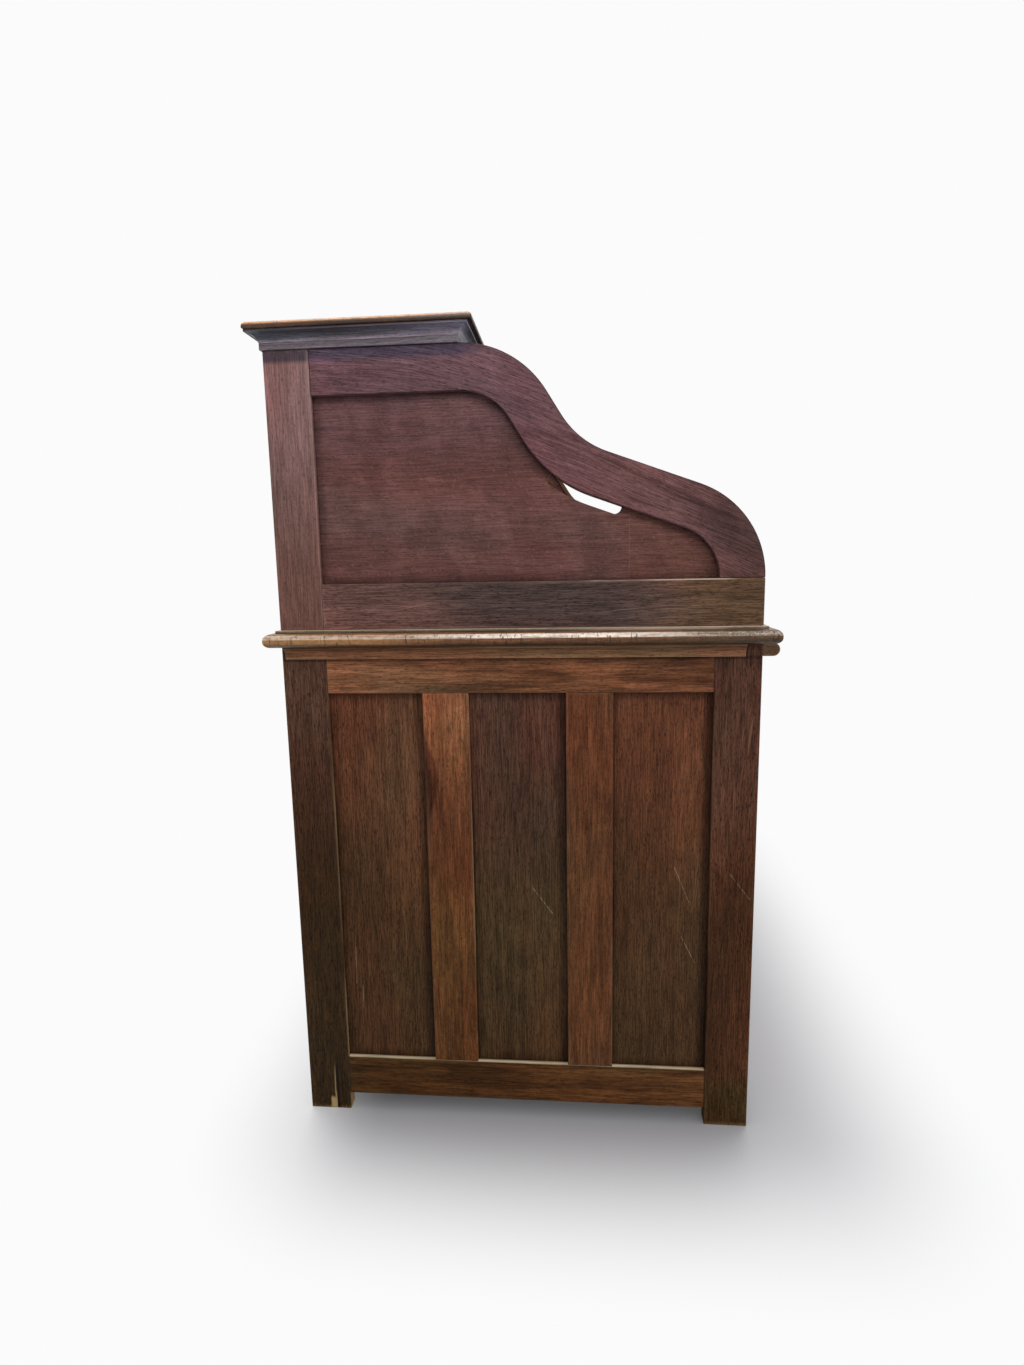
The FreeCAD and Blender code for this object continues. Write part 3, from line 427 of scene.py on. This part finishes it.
def darker_low(at_back, at_front):
    """The lower half is tinted, mostly darker, by factors at the back and at the front."""
    def mark(tree, wood, colour):
        level = number(tree, "MULTIPLY_ADD", wood["Drift"], 0.24, wood["Z"])
        along = below(tree, wood["Y"], -0.2, 0.2)
        low_factors = mixed(tree, along, (*at_back, 1.0), (*at_front, 1.0))
        return mixed(tree, below(tree, level, 0.48, 0.84), colour, low_factors, "MULTIPLY")
    return mark


def rubbed_feet(tree, wood, colour):
    """The lowest few millimetres are scuffed to bare wood."""
    level = number(tree, "MULTIPLY_ADD", wood["Hair"], 0.03, wood["Z"])
    return mixed(tree, below(tree, level, 0.013, 0.022, 0.7), colour, tone("80653f"))


def split_foot(tree, wood, colour):
    """A long pale splinter, wider at the floor, and the dark split that it left."""
    outer = below(tree, wood["X"], -0.5835, -0.581)
    sway = number(tree, "MULTIPLY_ADD", wood["Hair"], 0.004, wood["Y"])
    slit = times(tree, within(tree, sway, 0.3045, 0.3080, 0.0008), within(tree, wood["Z"], 0.0, 0.075, 0.01))
    colour = mixed(tree, times(tree, slit, outer), colour, tone("17110c"))
    tall = times(tree, within(tree, sway, 0.3095, 0.3110, 0.0008), below(tree, wood["Z"], 0.05, 0.085, 0.8))
    short = times(tree, within(tree, sway, 0.3095, 0.3180, 0.001), below(tree, wood["Z"], 0.016, 0.024, 0.9))
    streaked = spread(tree, wood["Streak"], 0.3, 0.6, 0.45, 1.0)
    bare = times(tree, number(tree, "MAXIMUM", tall, short), outer, streaked)
    return mixed(tree, bare, colour, tone("b4966a"))


def worn_and_highlit_reveals(tree, wood, colour):
    """The narrow sides of the frame that face the front are painted pale: stain worn off, and partly a
    painted highlight where they face the light at the front.
    """
    share = times(tree, spread(tree, wood["Front"], 0.9, 0.99), spread(tree, wood["Drift"], 0.36, 0.56),
                  spread(tree, wood["Z"], 0.45, 0.65, 0.5, 0.15), spread(tree, wood["Y"], -0.335, -0.325))
    return mixed(tree, share, colour, tone("b0946c"))


def painted_shadow_under_cove(tree, wood, colour):
    """A painted shadow line on the rail under the cove moulding."""
    line = within(tree, wood["Z"], 0.7405, 0.744, 0.0015)
    return shaded(tree, times(tree, line, 0.7), colour, (0.4, 0.36, 0.36))


def patched_stiles(tree, wood, colour):
    """The front stile is redder in its middle and greener at its foot, the back one darker in its middle."""
    middle = within(tree, wood["Z"], 0.44, 0.58, 0.09)
    front = below(tree, wood["Y"], -0.02, 0.02)
    back = number(tree, "SUBTRACT", 1.0, front)
    colour = shaded(tree, times(tree, middle, front), colour, (1.25, 1.14, 1.15))
    colour = shaded(tree, times(tree, middle, back), colour, (0.82, 0.83, 0.76))
    foot = times(tree, below(tree, wood["Z"], 0.05, 0.10), front)
    return shaded(tree, foot, colour, (0.76, 1.1, 0.86))


def stroke(tree, wood, start, end, width):
    """1 along a straight scratch between two places on the end of the desk."""
    run = (end[0] - start[0], end[1] - start[1])
    whole = run[0] ** 2 + run[1] ** 2
    y = number(tree, "SUBTRACT", wood["Y"], start[0])
    z = number(tree, "SUBTRACT", wood["Z"], start[1])
    share = number(tree, "MULTIPLY_ADD", y, run[0] / whole, times(tree, z, run[1] / whole))
    share = put(tree, "Clamp", {0: share}).outputs[0]
    y = number(tree, "MULTIPLY_ADD", share, -run[0], y)
    z = number(tree, "MULTIPLY_ADD", share, -run[1], z)
    away = number(tree, "SQRT", number(tree, "MULTIPLY_ADD", y, y, times(tree, z, z)))
    return below(tree, away, 0.0, width)


def scratched(tree, wood, colour):
    """The few deep scratches of the left end, down to bare wood."""
    half_width = 0.0009
    ends = [((0.2645, 0.3111), (0.2661, 0.2182)), ((0.2564, 0.215), (0.2567, 0.1748)),
            ((-0.2332, 0.4228), (-0.2556, 0.3677)), ((-0.2454, 0.3111), (-0.2662, 0.2689)),
            ((-0.0191, 0.386), (-0.0498, 0.3441)), ((-0.3125, 0.4189), (-0.3431, 0.3785))]
    for start, end in ends:
        line = stroke(tree, wood, start, end, half_width)
        line = times(tree, line, below(tree, wood["X"], -0.2, -0.1, 0.5),
                     spread(tree, wood["Hair"], 0.40, 0.58, 0.1, 1.0))
        colour = mixed(tree, line, colour, tone("b09878"))
    return colour


frame_ease = 0.0014
stile_marks = (darker_low((0.40, 0.44, 0.22), (0.74, 0.57, 0.34)), patched_stiles, painted_shadow_under_cove, scratched,
               rubbed_feet, split_foot, worn_and_highlit_reveals)
stile_oak = stained_oak("stile_oak", "503429", "8f7254", stile_marks, wear=0.2, bite=1.35)
for side in ("left", "right"):
    fit(boards(side + "_end_stiles", frame_ease), stile_oak, side + "_end_stiles")

# The end rails, top and bottom, are tenoned into the stiles. The top one has kept an orange tone, and the
# bottom one's upper edge, where dust lies under each panel, is worn to pale wood, with a painted highlight
# where it faces up.
def dusty_and_highlit_ledges(tree, wood, colour):
    """Bare, dusty wood on the edges that face up, out to the arris, painted pale partly as a highlight from
    the light above.
    """
    outward = number(tree, "ABSOLUTE", wood["X"])
    share = times(tree, spread(tree, wood["Up"], 0.85, 0.98),
                  spread(tree, wood["Streak"], 0.36, 0.58, 0.35, 1.0),
                  spread(tree, outward, 0.5770, 0.5810, 0.15, 1.0))
    return mixed(tree, share, colour, tone("d8c8a6"))


def mottled(depth):
    """Uneven polish: dark and light patches of that depth, which follow the grain."""
    def mark(tree, wood, colour):
        patch = cloud(tree, attribute(tree, "grain", "Vector"), (70, 70, 9), 4, 0.62, 0.3)
        return mixed(tree, 1.0, colour, spread(tree, patch, 0.34, 0.66, 1 - depth, 1 + depth), "MULTIPLY")
    return mark


def dark_ends(tree, wood, colour):
    """The joints with the stiles show as dark lines, and the back half of the top rail is paler and bluer."""
    paler_back = times(tree, spread(tree, wood["Y"], 0.0, 0.16), spread(tree, wood["Z"], 0.5, 0.6))
    colour = shaded(tree, paler_back, colour, (1.08, 1.24, 1.32))
    line = spread(tree, number(tree, "ABSOLUTE", wood["Y"]), 0.2812, 0.2834, 0.0, 0.75)
    return shaded(tree, line, colour, (0.3, 0.27, 0.27))


rail_marks = (darker_low((0.38, 0.42, 0.25), (0.72, 0.84, 0.62)), mottled(0.4), dark_ends, painted_shadow_under_cove,
              dusty_and_highlit_ledges)
rail_oak = stained_oak("rail_oak", "663f2a", "a58a6c", rail_marks, wear=0.15)
for side in ("left", "right"):
    fit(boards(side + "_end_rails", frame_ease), rail_oak, side + "_end_rails")

# Two muntins on each end divide it in three, tenoned into the rails. The back one has a painted pool of light
# at its top, with a slanted shadow edge, and a painted shade strip along its back side.
def painted_light_on_muntin(tree, wood, colour):
    """The back muntin: redder, with a tone for each height, a painted pool of light at its top with a slanted
    shadow edge, and a painted shade strip along its back side."""
    back_one = spread(tree, wood["Y"], 0.0, 0.01)
    colour = shaded(tree, back_one, colour, (0.96, 0.82, 0.80))
    middle = within(tree, wood["Z"], 0.44, 0.54, 0.08)
    colour = shaded(tree, times(tree, middle, back_one), colour, (0.90, 0.88, 0.92))
    low = below(tree, wood["Z"], 0.28, 0.42)
    colour = shaded(tree, times(tree, low, back_one), colour, (1.16, 1.36, 1.28))
    across = number(tree, "MULTIPLY_ADD", wood["Y"], 14.49, -1.039)  # from 0 to 1 over its width
    bound = number(tree, "MULTIPLY_ADD", wood["Z"], 4.0, -1.39)
    bright = spread(tree, number(tree, "SUBTRACT", bound, across), -0.05, 0.12)
    bright = times(tree, bright, spread(tree, wood["Z"], 0.44, 0.64), back_one, 0.75)
    colour = shaded(tree, bright, colour, (2.5, 2.75, 2.85))
    high = spread(tree, wood["Z"], 0.59, 0.65)
    colour = shaded(tree, times(tree, high, back_one), colour, (1.10, 1.18, 1.18))
    off_middle = number(tree, "ABSOLUTE", number(tree, "SUBTRACT", wood["Z"], 0.56))
    bowed = number(tree, "ADD", across, below(tree, off_middle, 0.0, 0.095, 0.30))
    strip = times(tree, spread(tree, bowed, 0.98, 1.06), below(tree, wood["Z"], 0.635, 0.655, 0.85),
                  spread(tree, wood["Z"], 0.45, 0.50))
    return shaded(tree, strip, colour, (0.42, 0.36, 0.42))


muntin_marks = (darker_low((1.02, 1.12, 0.86), (0.86, 0.98, 0.92)), mottled(0.24), painted_light_on_muntin, worn_and_highlit_reveals)
muntin_oak = stained_oak("muntin_oak", "583421", "a58a6c", muntin_marks, wear=0.15)
fit(boards("end_muntins", frame_ease), muntin_oak, "end_muntins")

# Six flat panels float in the grooves of the frames, three at each end. They are the darkest boards of the
# base, with painted shade along the frame, a painted shadow along each front side, and a few long scratches.
millimetre = 0.001


def grid(y_step, z_step, low, high):
    """Planes that slice a panel into cells, all in millimetres."""
    across = [((0, y * millimetre, 0), (0, 1, 0)) for y in range(-330, 331, y_step)]
    return across + [((0, 0, z * millimetre), (0, 0, 1)) for z in range(low, high, z_step)]


def measured(piece, *frames):
    """The piece, each of its corners marked with its distance from the frame that holds it."""
    trees = []
    for node in frames:
        around = frame["nodes"][node].data
        corners, faces = [v.co for v in around.vertices], [p.vertices for p in around.polygons]
        trees.append(bvhtree.BVHTree.FromPolygons(corners, faces))
    near = piece.data.attributes.new("near", "FLOAT", "POINT")
    for corner, spot in zip(piece.data.vertices, near.data):
        spot.value = min(tree.find_nearest(corner.co)[3] for tree in trees)
    return piece


def painted_shade_by_frame(tree, wood, colour):
    """Painted shade along the frame: a soft band, and a dark line right at its edge."""
    near = wavered(tree, attribute(tree, "near"), wood["Streak"], 0.006)
    colour = shaded(tree, below(tree, near, 0.0, 0.016, 0.6), colour, (0.45, 0.42, 0.42))
    return shaded(tree, below(tree, near, 0.0006, 0.003, 0.7), colour, (0.3, 0.28, 0.28))


def painted_shadow_front_sides(tree, wood, colour):
    """A painted shadow lies along the front side of each panel, beside the frame, and the middle one is
    darkest high up.
    """
    for side in (0.1407, -0.0717, -0.284):
        band = within(tree, wood["Y"], side, side + 0.004, 0.011)
        colour = shaded(tree, times(tree, band, 0.6), colour, (0.45, 0.43, 0.45))
    middle = within(tree, wood["Y"], -0.08, 0.08, 0.02)
    low, high = (1.16, 1.30, 1.30, 1.0), (0.79, 0.86, 1.10, 1.0)
    shade = mixed(tree, spread(tree, wood["Z"], 0.30, 0.50), low, high)
    return mixed(tree, middle, colour, shade, "MULTIPLY")


panel_marks = (darker_low((0.58, 0.74, 0.60), (0.70, 0.84, 0.72)), scratched, painted_shadow_front_sides, painted_shade_by_frame)
panel_oak = stained_oak("base_panel_oak", "583625", "7d654b", panel_marks, wear=0.1, lines=0.55, ribbon=0.2,
                        bite=1.2)
framing = ("left_end_stiles", "right_end_stiles", "left_end_rails", "right_end_rails", "end_muntins")
flat_panels = boards("end_panels", 0.0006, slices=grid(6, 12, 88, 700))
fit(measured(flat_panels, *framing), panel_oak, "end_panels")

# The inner sides of the pedestals, the backs, and the rails and runners that carry the drawers are plainer
# boards, stained the same and never polished.
evenly = (0.7, 0.74, 0.66)
inner_oak = stained_oak("base_inner_oak", "5c3f29", "9a8060", (darker_low(evenly, evenly),), wear=0.4,
                        ribbon=0.1, rough=0.6)
for node in ("left_inner_side", "right_inner_side", "base_backs", "drawer_rails", "drawer_runners"):
    fit(boards(node, 0.001), inner_oak, node)

# Seven drawers, each a front with two sides, a bottom and a back let into grooves. Only the front was
# stained: the box behind it is bare oak, a little yellowed.
def bare_box(tree, wood, colour):
    """Behind the front the wood was never stained."""
    return shaded(tree, spread(tree, wood["Y"], -0.3300, -0.3285), colour, (2.5, 3.0, 3.2))


slightly = (0.8, 0.84, 0.76)
drawer_oak = stained_oak("drawer_oak", "5a3a26", "a88c6c", (darker_low(slightly, slightly), bare_box),
                         ribbon=0.25)
levels = ("top", "middle", "bottom")
drawers = [side + "_" + level for side in ("left", "right") for level in levels] + ["centre"]
for drawer in drawers:
    fit(boards(drawer + "_drawer", 0.0012), drawer_oak, drawer + "_drawer")

# A wooden pull is screwed to the middle of each drawer front. It is cut from one block of oak, with its
# edges well rounded, and is dark and smooth from handling.
pull_oak = stained_oak("pull_oak", "4a2f1e", "9a7a56", ribbon=0.1, rough=0.34, shine=0.15, coat=0.06)
for drawer in drawers:
    fit(boards(drawer + "_pull", 0.0028), pull_oak, drawer + "_pull")

# The writing top is a wide board with a clamp at each end and a round edge on all sides. Sleeves and hands
# have rubbed the nose golden; a pale highlight is painted along its upper half, shade on its lower half, and
# dark nicks run along it.
def spot_of(tree, wood):
    """The place on the desk as one vector."""
    return put(tree, "CombineXYZ", {0: wood["X"], 1: wood["Y"], 2: wood["Z"]}).outputs[0]


def painted_highlight_nose(tree, wood, colour):
    """A pale highlight is painted along the upper half of the nose, brightest in the middle of its length;
    the back is golden, and the front has dark specks."""
    golden = times(tree, spread(tree, wood["Y"], 0.05, 0.2, 0.0, 0.42),
                   within(tree, wood["Z"], 0.767, 0.7815, 0.003))
    colour = mixed(tree, golden, colour, tone("b98a58"))
    band = within(tree, wood["Z"], 0.7760, 0.7805, 0.0016)
    off_middle = number(tree, "ABSOLUTE", number(tree, "ADD", wood["Y"], 0.06))
    ragged = spread(tree, number(tree, "ADD", wood["Hair"], wood["Streak"]), 0.75, 1.05, 0.35, 1.0)
    # bare here holds the painted highlight along the nose's upper half.
    bare = times(tree, band, spread(tree, off_middle, 0.05, 0.24, 1.0, 0.42), ragged)
    colour = mixed(tree, bare, colour, tone("f2e6d8"))
    speck = below(tree, cloud(tree, spot_of(tree, wood), (420, 420, 420), 1), 0.5, 0.62, 0.5)
    speck = times(tree, speck, below(tree, wood["Y"], -0.3, -0.2),
                  within(tree, wood["Z"], 0.768, 0.7825, 0.002))
    return mixed(tree, speck, colour, tone("3a2c22"))


def nicks_and_painted_shade_nose(tree, wood, colour):
    """Short dark nicks across the nose, in patches, a mottle, and painted shade on the lower half that thins
    to a line at the back."""
    spot = spot_of(tree, wood)
    nick = spread(tree, cloud(tree, spot, (300, 300, 60), 1), 0.58, 0.68)
    patch = spread(tree, cloud(tree, spot, (14, 14, 2), 1), 0.44, 0.58)
    colour = mixed(tree, times(tree, nick, patch, 0.7), colour, tone("2e1f17"))
    mottle = spread(tree, cloud(tree, spot, (120, 110, 260), 2), 0.46, 0.62, 0.0, 0.42)
    colour = shaded(tree, mottle, colour, (0.5, 0.42, 0.36))
    low = times(tree, below(tree, wood["Z"], 0.766, 0.777, 0.85), below(tree, wood["Y"], 0.12, 0.26))
    low = number(tree, "MAXIMUM", low, below(tree, wood["Z"], 0.7655, 0.7705, 0.85))
    return shaded(tree, low, colour, (0.22, 0.2, 0.2))


nose_oak = stained_oak("writing_top_oak", "7c5634", "cdb596", (painted_highlight_nose, nicks_and_painted_shade_nose), wear=0.4, rough=0.3,
                       shine=0.2, coat=0.15)
clamp_joint = 0.565
clamps = [((x, 0, 0), (1, 0, 0)) for x in (-clamp_joint, clamp_joint)]
fit(boards("writing_top", 0.0008, cuts=clamps), nose_oak, "writing_top")

# Two slides draw out under the writing top, one over each pedestal, to write on or lay papers on. Each is a
# flat oak board with a round nosing along its front to pull it by, worn smooth.
slide_oak = stained_oak("slide_oak", "5a3c26", "a88c6c", wear=0.6, rough=0.32, shine=0.15, coat=0.08)
for side in ("left", "right"):
    fit(boards(side + "_slide", 0.0012), slide_oak, side + "_slide")

# A cove moulding is glued under the writing top along each end. It is run from one strip of oak, with
# painted shade in its hollow under the nose and a painted highlight on its lower edge.
def painted_shade_and_highlight_cove(tree, wood, colour):
    """Painted shade in the upper part of the hollow, under the nose, and a lower edge painted lighter as a
    highlight.
    """
    colour = shaded(tree, spread(tree, wood["Z"], 0.754, 0.762, 0.0, 0.85), colour, (0.3, 0.28, 0.28))
    return shaded(tree, below(tree, wood["Z"], 0.745, 0.751, 0.8), colour, (1.5, 1.5, 1.5))


cove_oak = stained_oak("moulding_oak", "704f38", "b79a78", (painted_shade_and_highlight_cove,), wear=0.7)
fit(boards("under_top_moulding", 0.0008), cove_oak, "under_top_moulding")

# A thin plinth strip of oak lies on the writing top and carries the upper case. Its ledge is grey with dust,
# which the cloth never reached, and painted paler where it faces up, a painted highlight.
def dark_foot(tree, wood, colour):
    """A dark line along the foot of the strip, where it meets the writing top."""
    return shaded(tree, below(tree, wood["Z"], 0.7835, 0.7855, 0.9), colour, (0.25, 0.22, 0.2))


plinth_oak = stained_oak("plinth_oak", "7a685c", "d8c8b8", (dusty_and_highlit_ledges, dark_foot), wear=0.8)
fit(boards("upper_plinth", 0.0006), plinth_oak, "upper_plinth")

# The back stiles of the upper ends stand on the plinth and hold the rails' tenons. They are a pinkish brown,
# painted paler and bluer towards the top as a haze of light, with a painted shadow under the top.
def painted_haze_and_shadow_high(tree, wood, colour):
    """A painted haze of light makes the upper part paler and bluer, and a painted shadow darkens the strip
    under the top.
    """
    colour = shaded(tree, spread(tree, wood["Z"], 0.85, 1.12), colour, (1.44, 1.72, 2.1))
    return shaded(tree, spread(tree, wood["Z"], 1.159, 1.167, 0.0, 0.9), colour, (0.21, 0.30, 0.42))


# The upper stiles, rails, S-rails and panels are stained pinker than the base, partly as a painted haze of
# light.
upper_polish = {"rough": 0.42, "shine": 0.1}
upper_stile_oak = stained_oak("upper_stile_oak", "6a4740", "ab9184", (painted_haze_and_shadow_high,), lines=0.4, bite=0.8,
                              **upper_polish)
fit(boards("upper_stiles", frame_ease), upper_stile_oak, "upper_stiles")

# The bottom rails of the upper ends lie on the plinth, tenoned into the back stiles. They are dark in the
# middle and olive at the front, where the hand rests.
def handled_rail(tree, wood, colour):
    """Grime in the middle of the rail, an olive front end, and dust along its upper edge there."""
    level = wavered(tree, wood["Y"], wood["Drift"], 0.12)
    colour = shaded(tree, within(tree, level, -0.11, 0.04, 0.14), colour, (0.52, 0.57, 0.6))
    colour = shaded(tree, below(tree, level, -0.31, -0.13), colour, (1.06, 1.04, 0.68))
    dust = times(tree, spread(tree, wood["Z"], 0.8515, 0.8530), within(tree, wood["Y"], -0.29, -0.12, 0.03),
                 spread(tree, wood["Streak"], 0.42, 0.56, 0.1, 0.8))
    return mixed(tree, dust, colour, tone("b9ab97"))


low_rail_oak = stained_oak("low_rail_oak", "5e433e", "ab9184", (handled_rail,), wear=0.4, lines=0.4,
                           ribbon=0.1, bite=1.2, **upper_polish)
fit(boards("upper_bottom_rails", frame_ease), low_rail_oak, "upper_bottom_rails")

# The S-shaped rails are sawn from one wide board each, so the grain runs level at the back and then down
# along the middle of the curve. Their edges are dark, a painted shadow lies under the top, and the front end
# is darker from handling.
def down_the_curve(spot):
    """The place of a point across, through and along the bent grain."""
    slope, drop, bend, softness = 0.05, 0.02, 0.1, 0.05
    fall = slope * spot.y - drop * math.log(1 + math.exp((bend - spot.y) / softness))
    return spot.z - fall, spot.x, -spot.y


def dark_end_and_painted_shadow(tree, wood, colour):
    """Dark arrises, a painted shadow on the strip under the top, a greener front half and a dark front end.
    """
    colour = shaded(tree, times(tree, wood["Rubbed"], 0.7), colour, (0.35, 0.32, 0.32))
    under = times(tree, spread(tree, wood["Z"], 1.156, 1.170, 0.0, 0.9), spread(tree, wood["Y"], 0.02, 0.08))
    colour = shaded(tree, under, colour, (0.35, 0.54, 0.76))
    level = wavered(tree, wood["Y"], wood["Drift"], 0.12)
    colour = shaded(tree, below(tree, level, -0.24, 0.02), colour, (1.1, 1.2, 1.06))
    return shaded(tree, below(tree, level, -0.34, -0.24), colour, (0.6, 0.64, 0.6))


s_rail_oak = stained_oak("upper_frame_oak", "64444a", "ab9184", (dark_end_and_painted_shadow,), wear=0.0, lines=0.4, bite=1.1,
                         **upper_polish)
bends = [((0, y * millimetre, 0), (0, 1, 0)) for y in range(-340, 341, 20)]
for side in ("left", "right"):
    fit(boards(side + "_s_rail", frame_ease, down_the_curve, slices=bends), s_rail_oak, side + "_s_rail")

# One wide flat panel fills each upper end, glued up from boards whose grain runs level. It stands in grooves,
# with a slot left open under the S-rail.
def level_grain(spot):
    """The place of a point across, through and along the level grain."""
    return spot.z, spot.x, spot.y


def glue_line_and_painted_shade(tree, wood, colour):
    """The joint of the front board, below the end of the slot; that board is redder, and the top is darker
    and bluer, a painted shade.
    """
    colour = shaded(tree, below(tree, wood["Y"], -0.2, -0.1), colour, (1.25, 1.08, 0.98))
    colour = shaded(tree, spread(tree, wood["Z"], 0.99, 1.07), colour, (0.81, 0.92, 1.06))
    line = within(tree, wood["Y"], -0.163, -0.1625, 0.0008)
    return mixed(tree, times(tree, line, 0.14), colour, tone("9a7868"))


wide_oak = stained_oak("upper_panel_oak", "583a37", "96786c", (glue_line_and_painted_shade, painted_shade_by_frame), wear=0.0,
                       lines=0.25, ribbon=0.45, bite=0.7, **upper_polish)
for side in ("left", "right"):
    wide_panel = boards(side + "_upper_panel", 0.0008, level_grain, slices=grid(8, 8, 850, 1170))
    around = (side + "_s_rail", "upper_stiles", "upper_bottom_rails")
    fit(measured(wide_panel, *around), wide_oak, side + "_upper_panel")

# Two strips inside each end, an outer and an inner, are the track that the curtain runs in. They are sawn to
# the curve from the same plain oak as the inner boards of the base.
fit(boards("tambour_tracks", 0.0006), inner_oak, "tambour_tracks")

# The upper back closes the case behind: a frame of rails and stiles with two thin panels in its grooves.
# It is plain oak, stained and never polished.
back_oak = stained_oak("upper_back_oak", "5e412d", "9c8268", wear=0.4, ribbon=0.1, rough=0.6)
fit(boards("upper_back_frame", 0.0012), back_oak, "upper_back_frame")
fit(boards("upper_back_panels", 0.0006), back_oak, "upper_back_panels")

# The top: a fascia, a moulding mitred round it, and the top board with its upper edge rounded over.
# The moulding is dark, its blue-grey tone a painted sky reflection, with painted shade black in its hollow at
# the back;
# the fascia is greyer, with the same painted reflection, and the top's sides are painted black as shade, its
# rim orange as a painted highlight.
fascia_oak = stained_oak("fascia_oak", "625b66", "a89888", lines=0.4, ribbon=0.1, rough=0.4, shine=0.3)
fit(boards("top_fascia", 0.0008), fascia_oak, "top_fascia")


def painted_shade_upper(tree, wood, colour):
    """The hollow's upper part is painted black at the back, as shade under the top board; its lower edge
    keeps the blue-grey.
    """
    at_front, at_back = (0.9, 1.0, 1.1, 1.0), (0.24, 0.27, 0.28, 1.0)
    depth = mixed(tree, spread(tree, wood["Y"], 0.02, 0.24), at_front, at_back)
    return mixed(tree, spread(tree, wood["Z"], 1.1905, 1.1955), colour, depth, "MULTIPLY")


# The blue-grey in this stain is a painted sky reflection.
blue_oak = stained_oak("top_moulding_oak", "746e7b", "8c7c70", (painted_shade_upper,), wear=0.3, lines=0.4,
                       ribbon=0.1, rough=0.3, shine=0.25, coat=0.1)
fit(boards("top_moulding", 0.0006), blue_oak, "top_moulding")


def painted_lit_rim_shaded_sides(tree, wood, colour):
    """The sides are darkened to black, a painted shade, and only the rim of the upper face is painted orange,
    a highlight where it catches the light.
    """
    colour = shaded(tree, below(tree, wood["Z"], 1.2085, 1.2115, 0.9), colour, (0.2, 0.2, 0.24))
    rim = times(tree, spread(tree, wood["Z"], 1.2075, 1.2115), spread(tree, wood["Y"], 0.08, 0.2, 0.5, 0.85),
                spread(tree, wood["Streak"], 0.3, 0.6, 0.5, 1.0), below(tree, wood["Up"], 0.9, 0.99))
    return mixed(tree, rim, colour, tone("bd8650"))


cap_oak = stained_oak("top_oak", "5a3f2c", "b87c48", (painted_lit_rim_shaded_sides,), wear=0.2, ribbon=0.1, rough=0.34,
                      shine=0.25, coat=0.15)
fit(boards("top_board", 0.0008), cap_oak, "top_board")

# The pigeonholes are thin shelves and partitions housed in each other, with a thin back, of paler oak that
# has been kept from the light.
hole_oak = stained_oak("pigeonhole_oak", "86633f", "c8ac86", wear=0.4, ribbon=0.1, rough=0.5)
for node in ("pigeonhole_shelves", "pigeonhole_partitions", "pigeonhole_back"):
    fit(boards(node, 0.0006), hole_oak, node)

# The curtain runs in the tracks: a lead rail with two finger lifts, and twenty narrow slats behind it. All
# are oak; the slats are flat inside, rounded outside and polished.
slat_oak = stained_oak("tambour_oak", "64463a", "ab9184", rough=0.4, shine=0.2, coat=0.1)
for node in ["tambour_lead_rail", "tambour_lifts"] + [f"tambour_slats_{i:02d}" for i in range(1, 13)]:
    fit(boards(node, 0.0010), slat_oak, node)

# The lock is let into the lead rail's back, with an escutcheon screwed on outside. Both are brass, brushed
# by wiping and tarnished in patches.
lock_brass = bpy.data.materials.new("lock_brass")
lock_brass.use_nodes = True
plate = lock_brass.node_tree
plate.nodes.clear()
plate_spot = put(plate, "TexCoord", {}).outputs["Object"]
tarnish = spread(plate, cloud(plate, plate_spot, (160, 160, 160), 4, 0.6), 0.4, 0.62)
brushed = cloud(plate, plate_spot, (900, 60, 60), 2)
plate_colour = mixed(plate, tarnish, tone("b08d4e"), tone("5c4424"))
plate_dull = number(plate, "MULTIPLY_ADD", tarnish, 0.25, spread(plate, brushed, 0.3, 0.7, 0.26, 0.38))
plate_bump = put(plate, "Bump", {"Strength": 0.2, "Distance": 0.0002, "Height": brushed}).outputs[0]
metal = put(plate, "BsdfPrincipled", {"Base Color": plate_colour, "Roughness": plate_dull,
                                      "Normal": plate_bump, "Metallic": 1.0})
put(plate, "OutputMaterial", {"Surface": metal.outputs[0]})
fit(boards("tambour_lock", 0.0004), lock_brass, "tambour_lock")
